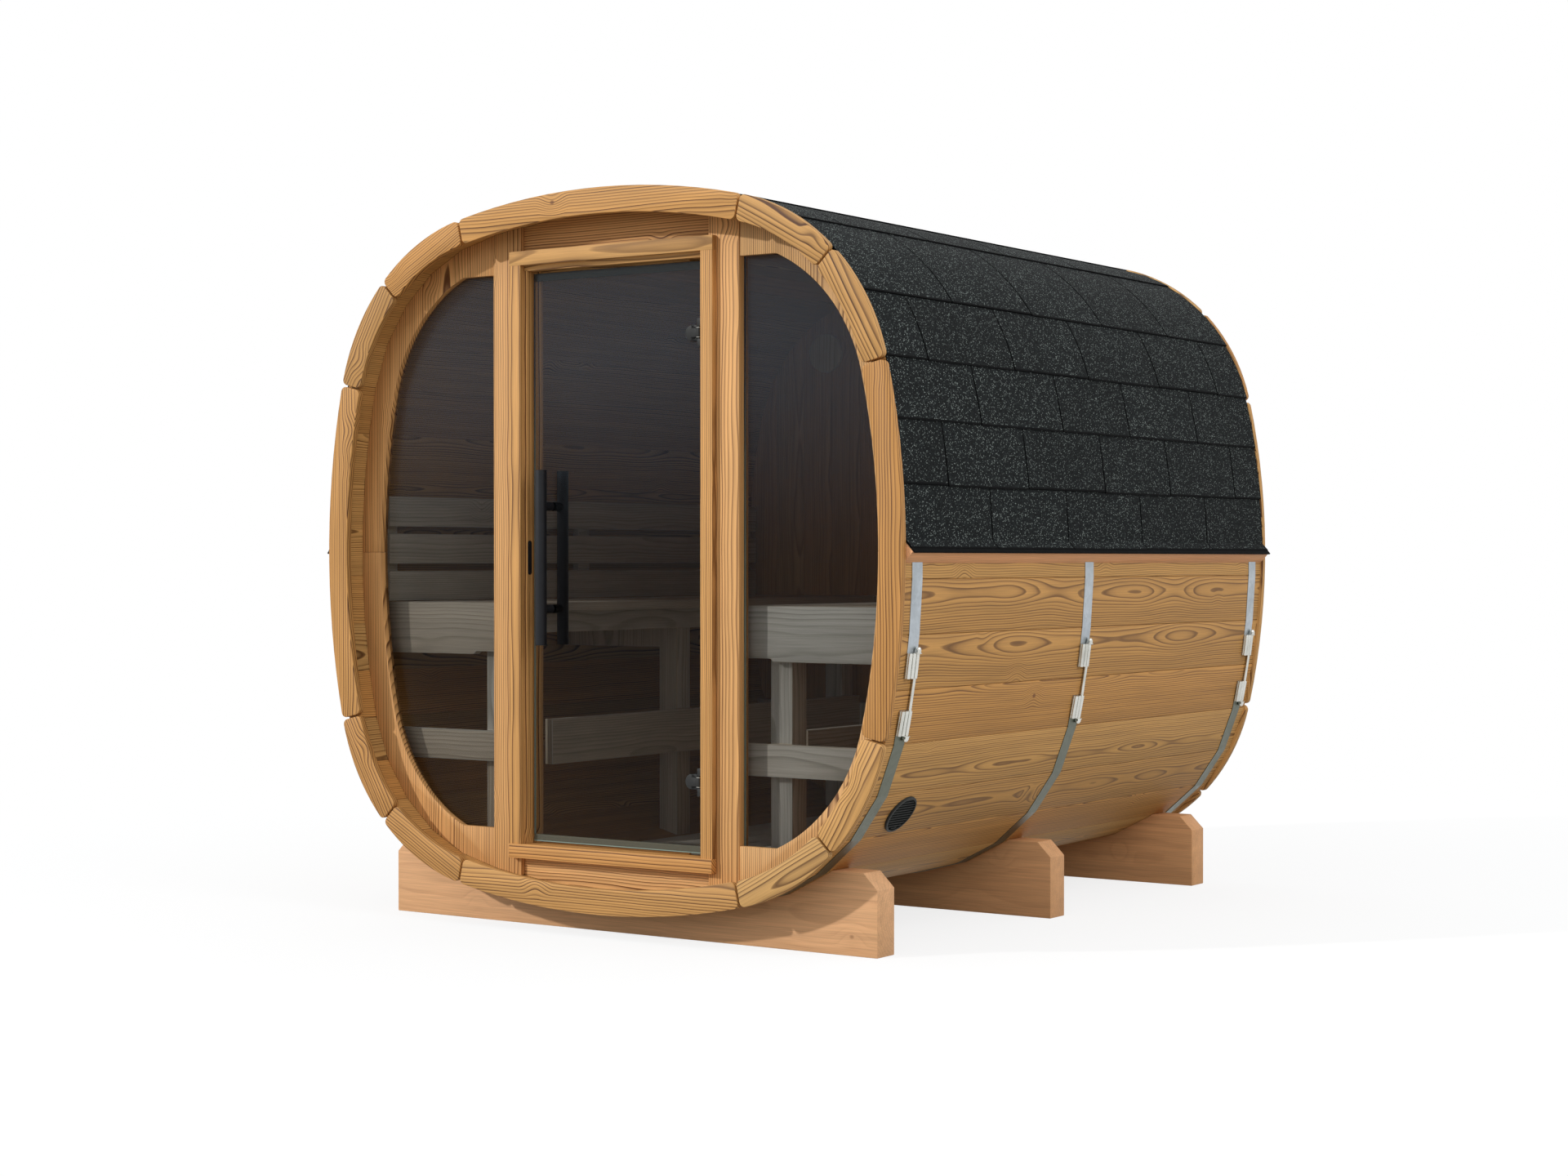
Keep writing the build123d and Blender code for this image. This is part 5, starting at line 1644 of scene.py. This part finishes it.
@dataclass
class DoorFittings:
    """Pull bars, hinges and strike plate."""

    shop: Workshop
    bar_radius: float = 0.0165
    post_radius: float = 0.0125
    rose_radius: float = 0.0125
    rose_thickness: float = 0.002
    post_share: float = 0.587
    bar_edge: float = 0.0012
    screw_radius: float = 0.0042
    screw_inset: float = 0.009
    screw_sink: float = 0.0004
    screw_height: float = 0.0014
    screw_taper: float = 0.7
    strike_edge: float = 0.0005
    axis: tuple[float, float] = (0.292, -1.012)
    plate: float = 0.006
    plate_radius: float = 0.021
    plate_run: float = 0.019
    plate_edge: float = 0.0008
    washer: float = 0.0012
    washer_place: float = 0.0125
    washer_radius: float = 0.0084

    def build(self) -> None:
        """Makes the fittings from the boxes of their CAD nodes."""
        self._pulls()
        self._leaves()
        self._pins()
        self._strike()

    def _heights(self) -> list[float]:
        """Middles of the two hinges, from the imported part."""
        solid = self.shop.cad_solid("door_hinge_leaves")
        spans = [[vert.co.z for vert in group] for group in islands(solid)]
        solid.free()
        return sorted({round((min(span) + max(span)) / 2, 5) for span in spans})

    def _leaves(self) -> None:
        """Makes the hinge leaves, their round plates squared off towards the jamb."""
        solid = self.shop.cad_solid("door_hinge_leaves")
        glass_low, glass_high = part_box("door_glass")
        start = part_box("door_hinge_leaves")[0].x + self.plate_radius
        for height in self._heights():
            for near, far in (
                (glass_low.y - self.plate, glass_low.y),
                (glass_high.y, glass_high.y + self.plate),
            ):
                low = Vector((start, near, height - self.plate_radius))
                add_box(solid, low, Vector((start + self.plate_run, far, height + self.plate_radius)))
        ease_edges(solid, self.plate_edge)
        self.shop.finish("door_hinge_leaves_metal", solid, "steel_fittings", ["door_hinge_leaves"], "door")

    def _pins(self) -> None:
        """Makes the hinge pins, each with a bright washer above and below the door's knuckle."""
        solid = self.shop.cad_solid("hinge_pins")
        ease_edges(solid, self.plate_edge)
        dark = set(solid.faces)
        for height in self._heights():
            for way in (-1, 1):
                start = Vector((*self.axis, height + way * self.washer_place))
                add_rod(solid, start, start + Vector((0.0, 0.0, way * self.washer)), self.washer_radius)
        for face in set(solid.faces) - dark:
            face.material_index = 1
        face_outwards(solid)
        looks = ("steel_fittings", "zinc")
        self.shop.finish("hinge_pins_metal", solid, "steel_fittings", ["hinge_pins"], looks=looks)

    def _pulls(self) -> None:
        """Makes a pull bar on each face of the door, with its posts and roses."""
        low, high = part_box("door_handle")
        glass_low, glass_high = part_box("door_glass")
        x = (low.x + high.x) / 2
        middle = (low.z + high.z) / 2
        reach = (high.z - low.z) / 2 * self.post_share
        solid = bmesh.new()
        for bar, face, way in (
            (low.y + self.bar_radius, glass_low.y, -1),
            (high.y - self.bar_radius, glass_high.y, 1),
        ):
            ends = [Vector((x, bar, end)) for end in (low.z, high.z)]
            add_eased_rod(solid, ends, self.bar_radius, 40, self.bar_edge, steps=3)
            for height in (middle - reach, middle + reach):
                foot = Vector((x, face, height))
                rose = Vector((x, face + way * self.rose_thickness, height))
                add_rod(solid, Vector((x, bar, height)), foot, self.post_radius, segments=28)
                add_rod(solid, foot, rose, self.rose_radius, segments=32)
        face_outwards(solid)
        self.shop.finish("door_pull_bars", solid, "black_metal", ["door_handle"], "door")

    def _strike(self) -> None:
        """Makes the strike plate with two pan-head screws."""
        low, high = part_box("strike_plate")
        solid = self.shop.cad_solid("strike_plate")
        ease_edges(solid, self.strike_edge)
        y = (low.y + high.y) / 2
        head = Vector((self.screw_height, 0, 0))
        for height in (low.z + self.screw_inset, high.z - self.screw_inset):
            start = Vector((high.x - self.screw_sink, y, height))
            add_rod(solid, start, start + head, self.screw_radius, segments=20, taper=self.screw_taper)
        self.shop.finish("strike_plate_metal", solid, "black_metal", ["strike_plate"])


@dataclass
class Studio:
    """White studio: camera at the photograph's angle, a key light, a soft side light and a pale floor."""

    finishes: Finishes
    camera_place: Triple = (4.5377, -6.7825, 1.0409)
    camera_turn: Triple = (89.399, 0.0, 34.501)
    lens: float = 60.53
    sensor: float = 36.0
    key_travel: Triple = (0.488, 0.686, -0.425)
    key_place: Triple = (-3.0, -5.0, 5.0)
    key_colour: Colour = (1.0, 0.985, 0.96)
    key_strength: float = 1.76
    key_spread: float = 2.0
    fill_place: Triple = (6.5, -1.2, 5.2)
    fill_aim: Triple = (0.0, 0.0, 1.0)
    fill_power: float = 185.0
    fill_size: float = 5.0
    sky: Colour = (0.95, 0.98, 1.0)
    sky_strength: float = 0.87
    floor_reach: float = 60.0

    def build(self) -> None:
        """Sets up the whole studio."""
        self._camera()
        self._lamps()
        self._world()
        self._floor()
        bpy.context.scene.view_settings.view_transform = "Standard"

    def _camera(self) -> None:
        """Adds the camera."""
        lens = bpy.data.cameras.new("camera")
        lens.lens = self.lens
        lens.sensor_width = self.sensor
        lens.sensor_fit = "HORIZONTAL"
        camera = bpy.data.objects.new("camera", lens)
        camera.location = self.camera_place
        camera.rotation_euler = [math.radians(angle) for angle in self.camera_turn]
        bpy.context.scene.collection.objects.link(camera)
        bpy.context.scene.camera = camera

    def _lamps(self) -> None:
        """Adds the key light and the soft side light."""
        sun = bpy.data.lights.new("key_light", "SUN")
        sun.energy = self.key_strength
        sun.angle = math.radians(self.key_spread)
        sun.color = self.key_colour
        self._hang(sun, self.key_place, Vector(self.key_travel))
        area = bpy.data.lights.new("side_light", "AREA")
        area.energy = self.fill_power
        area.size = self.fill_size
        self._hang(area, self.fill_place, Vector(self.fill_aim) - Vector(self.fill_place))

    @staticmethod
    def _hang(lamp: bpy.types.Light, place: Triple, travel: Vector) -> None:
        """Hangs a lamp at a place, shining along a direction."""
        hung = bpy.data.objects.new(lamp.name, lamp)
        hung.location = place
        hung.rotation_euler = travel.to_track_quat("-Z", "Y").to_euler()
        bpy.context.scene.collection.objects.link(hung)

    def _world(self) -> None:
        """Lights the part evenly from all round and shows a white ground behind it."""
        world = bpy.data.worlds.new("studio_world")
        world.use_nodes = True
        graph = Graph(world.node_tree)
        light = {"Color": (*self.sky, 1.0), "Strength": self.sky_strength}
        sky = graph.node("ShaderNodeBackground", None, light)
        white = graph.node("ShaderNodeBackground", None, {"Color": WHITE, "Strength": 1.0})
        both = graph.node("ShaderNodeMixShader", None, {0: graph.seen(), 1: sky, 2: white})
        graph.node("ShaderNodeOutputWorld", None, {"Surface": both})
        bpy.context.scene.world = world

    def _floor(self) -> None:
        """Lays the floor under the cradles."""
        solid = bmesh.new()
        bmesh.ops.create_grid(solid, x_segments=1, y_segments=1, size=self.floor_reach)
        mesh = bpy.data.meshes.new("studio_floor")
        solid.to_mesh(mesh)
        solid.free()
        mesh.materials.append(self.finishes.by_name["studio_floor"])
        floor = bpy.data.objects.new("studio_floor", mesh)
        bpy.context.scene.collection.objects.link(floor)


def main() -> None:
    """Builds every sub-assembly in order."""
    logging.basicConfig(level=logging.INFO, format="%(name)s %(message)s")
    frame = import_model()
    finishes = Finishes()
    shop = Workshop(frame, finishes)
    ring_low, ring_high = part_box("front_trim_ring")
    outline = SectionOutline((ring_high.x - ring_low.x) / 2, (ring_high.z + ring_low.z) / 2)
    StaveShell(shop, outline).build()
    TrimRings(shop).build()
    PlainTimber(shop).build()
    Cradles(shop, outline).build()
    ShingleRoof(shop, outline).build()
    HoopSet(shop, outline).build()
    Vents(shop).build()
    Glazing(shop).build()
    DoorFittings(shop).build()
    Studio(finishes).build()
    LOG.info("%d pieces", len(shop.made))


if __name__ == "__main__":
    main()
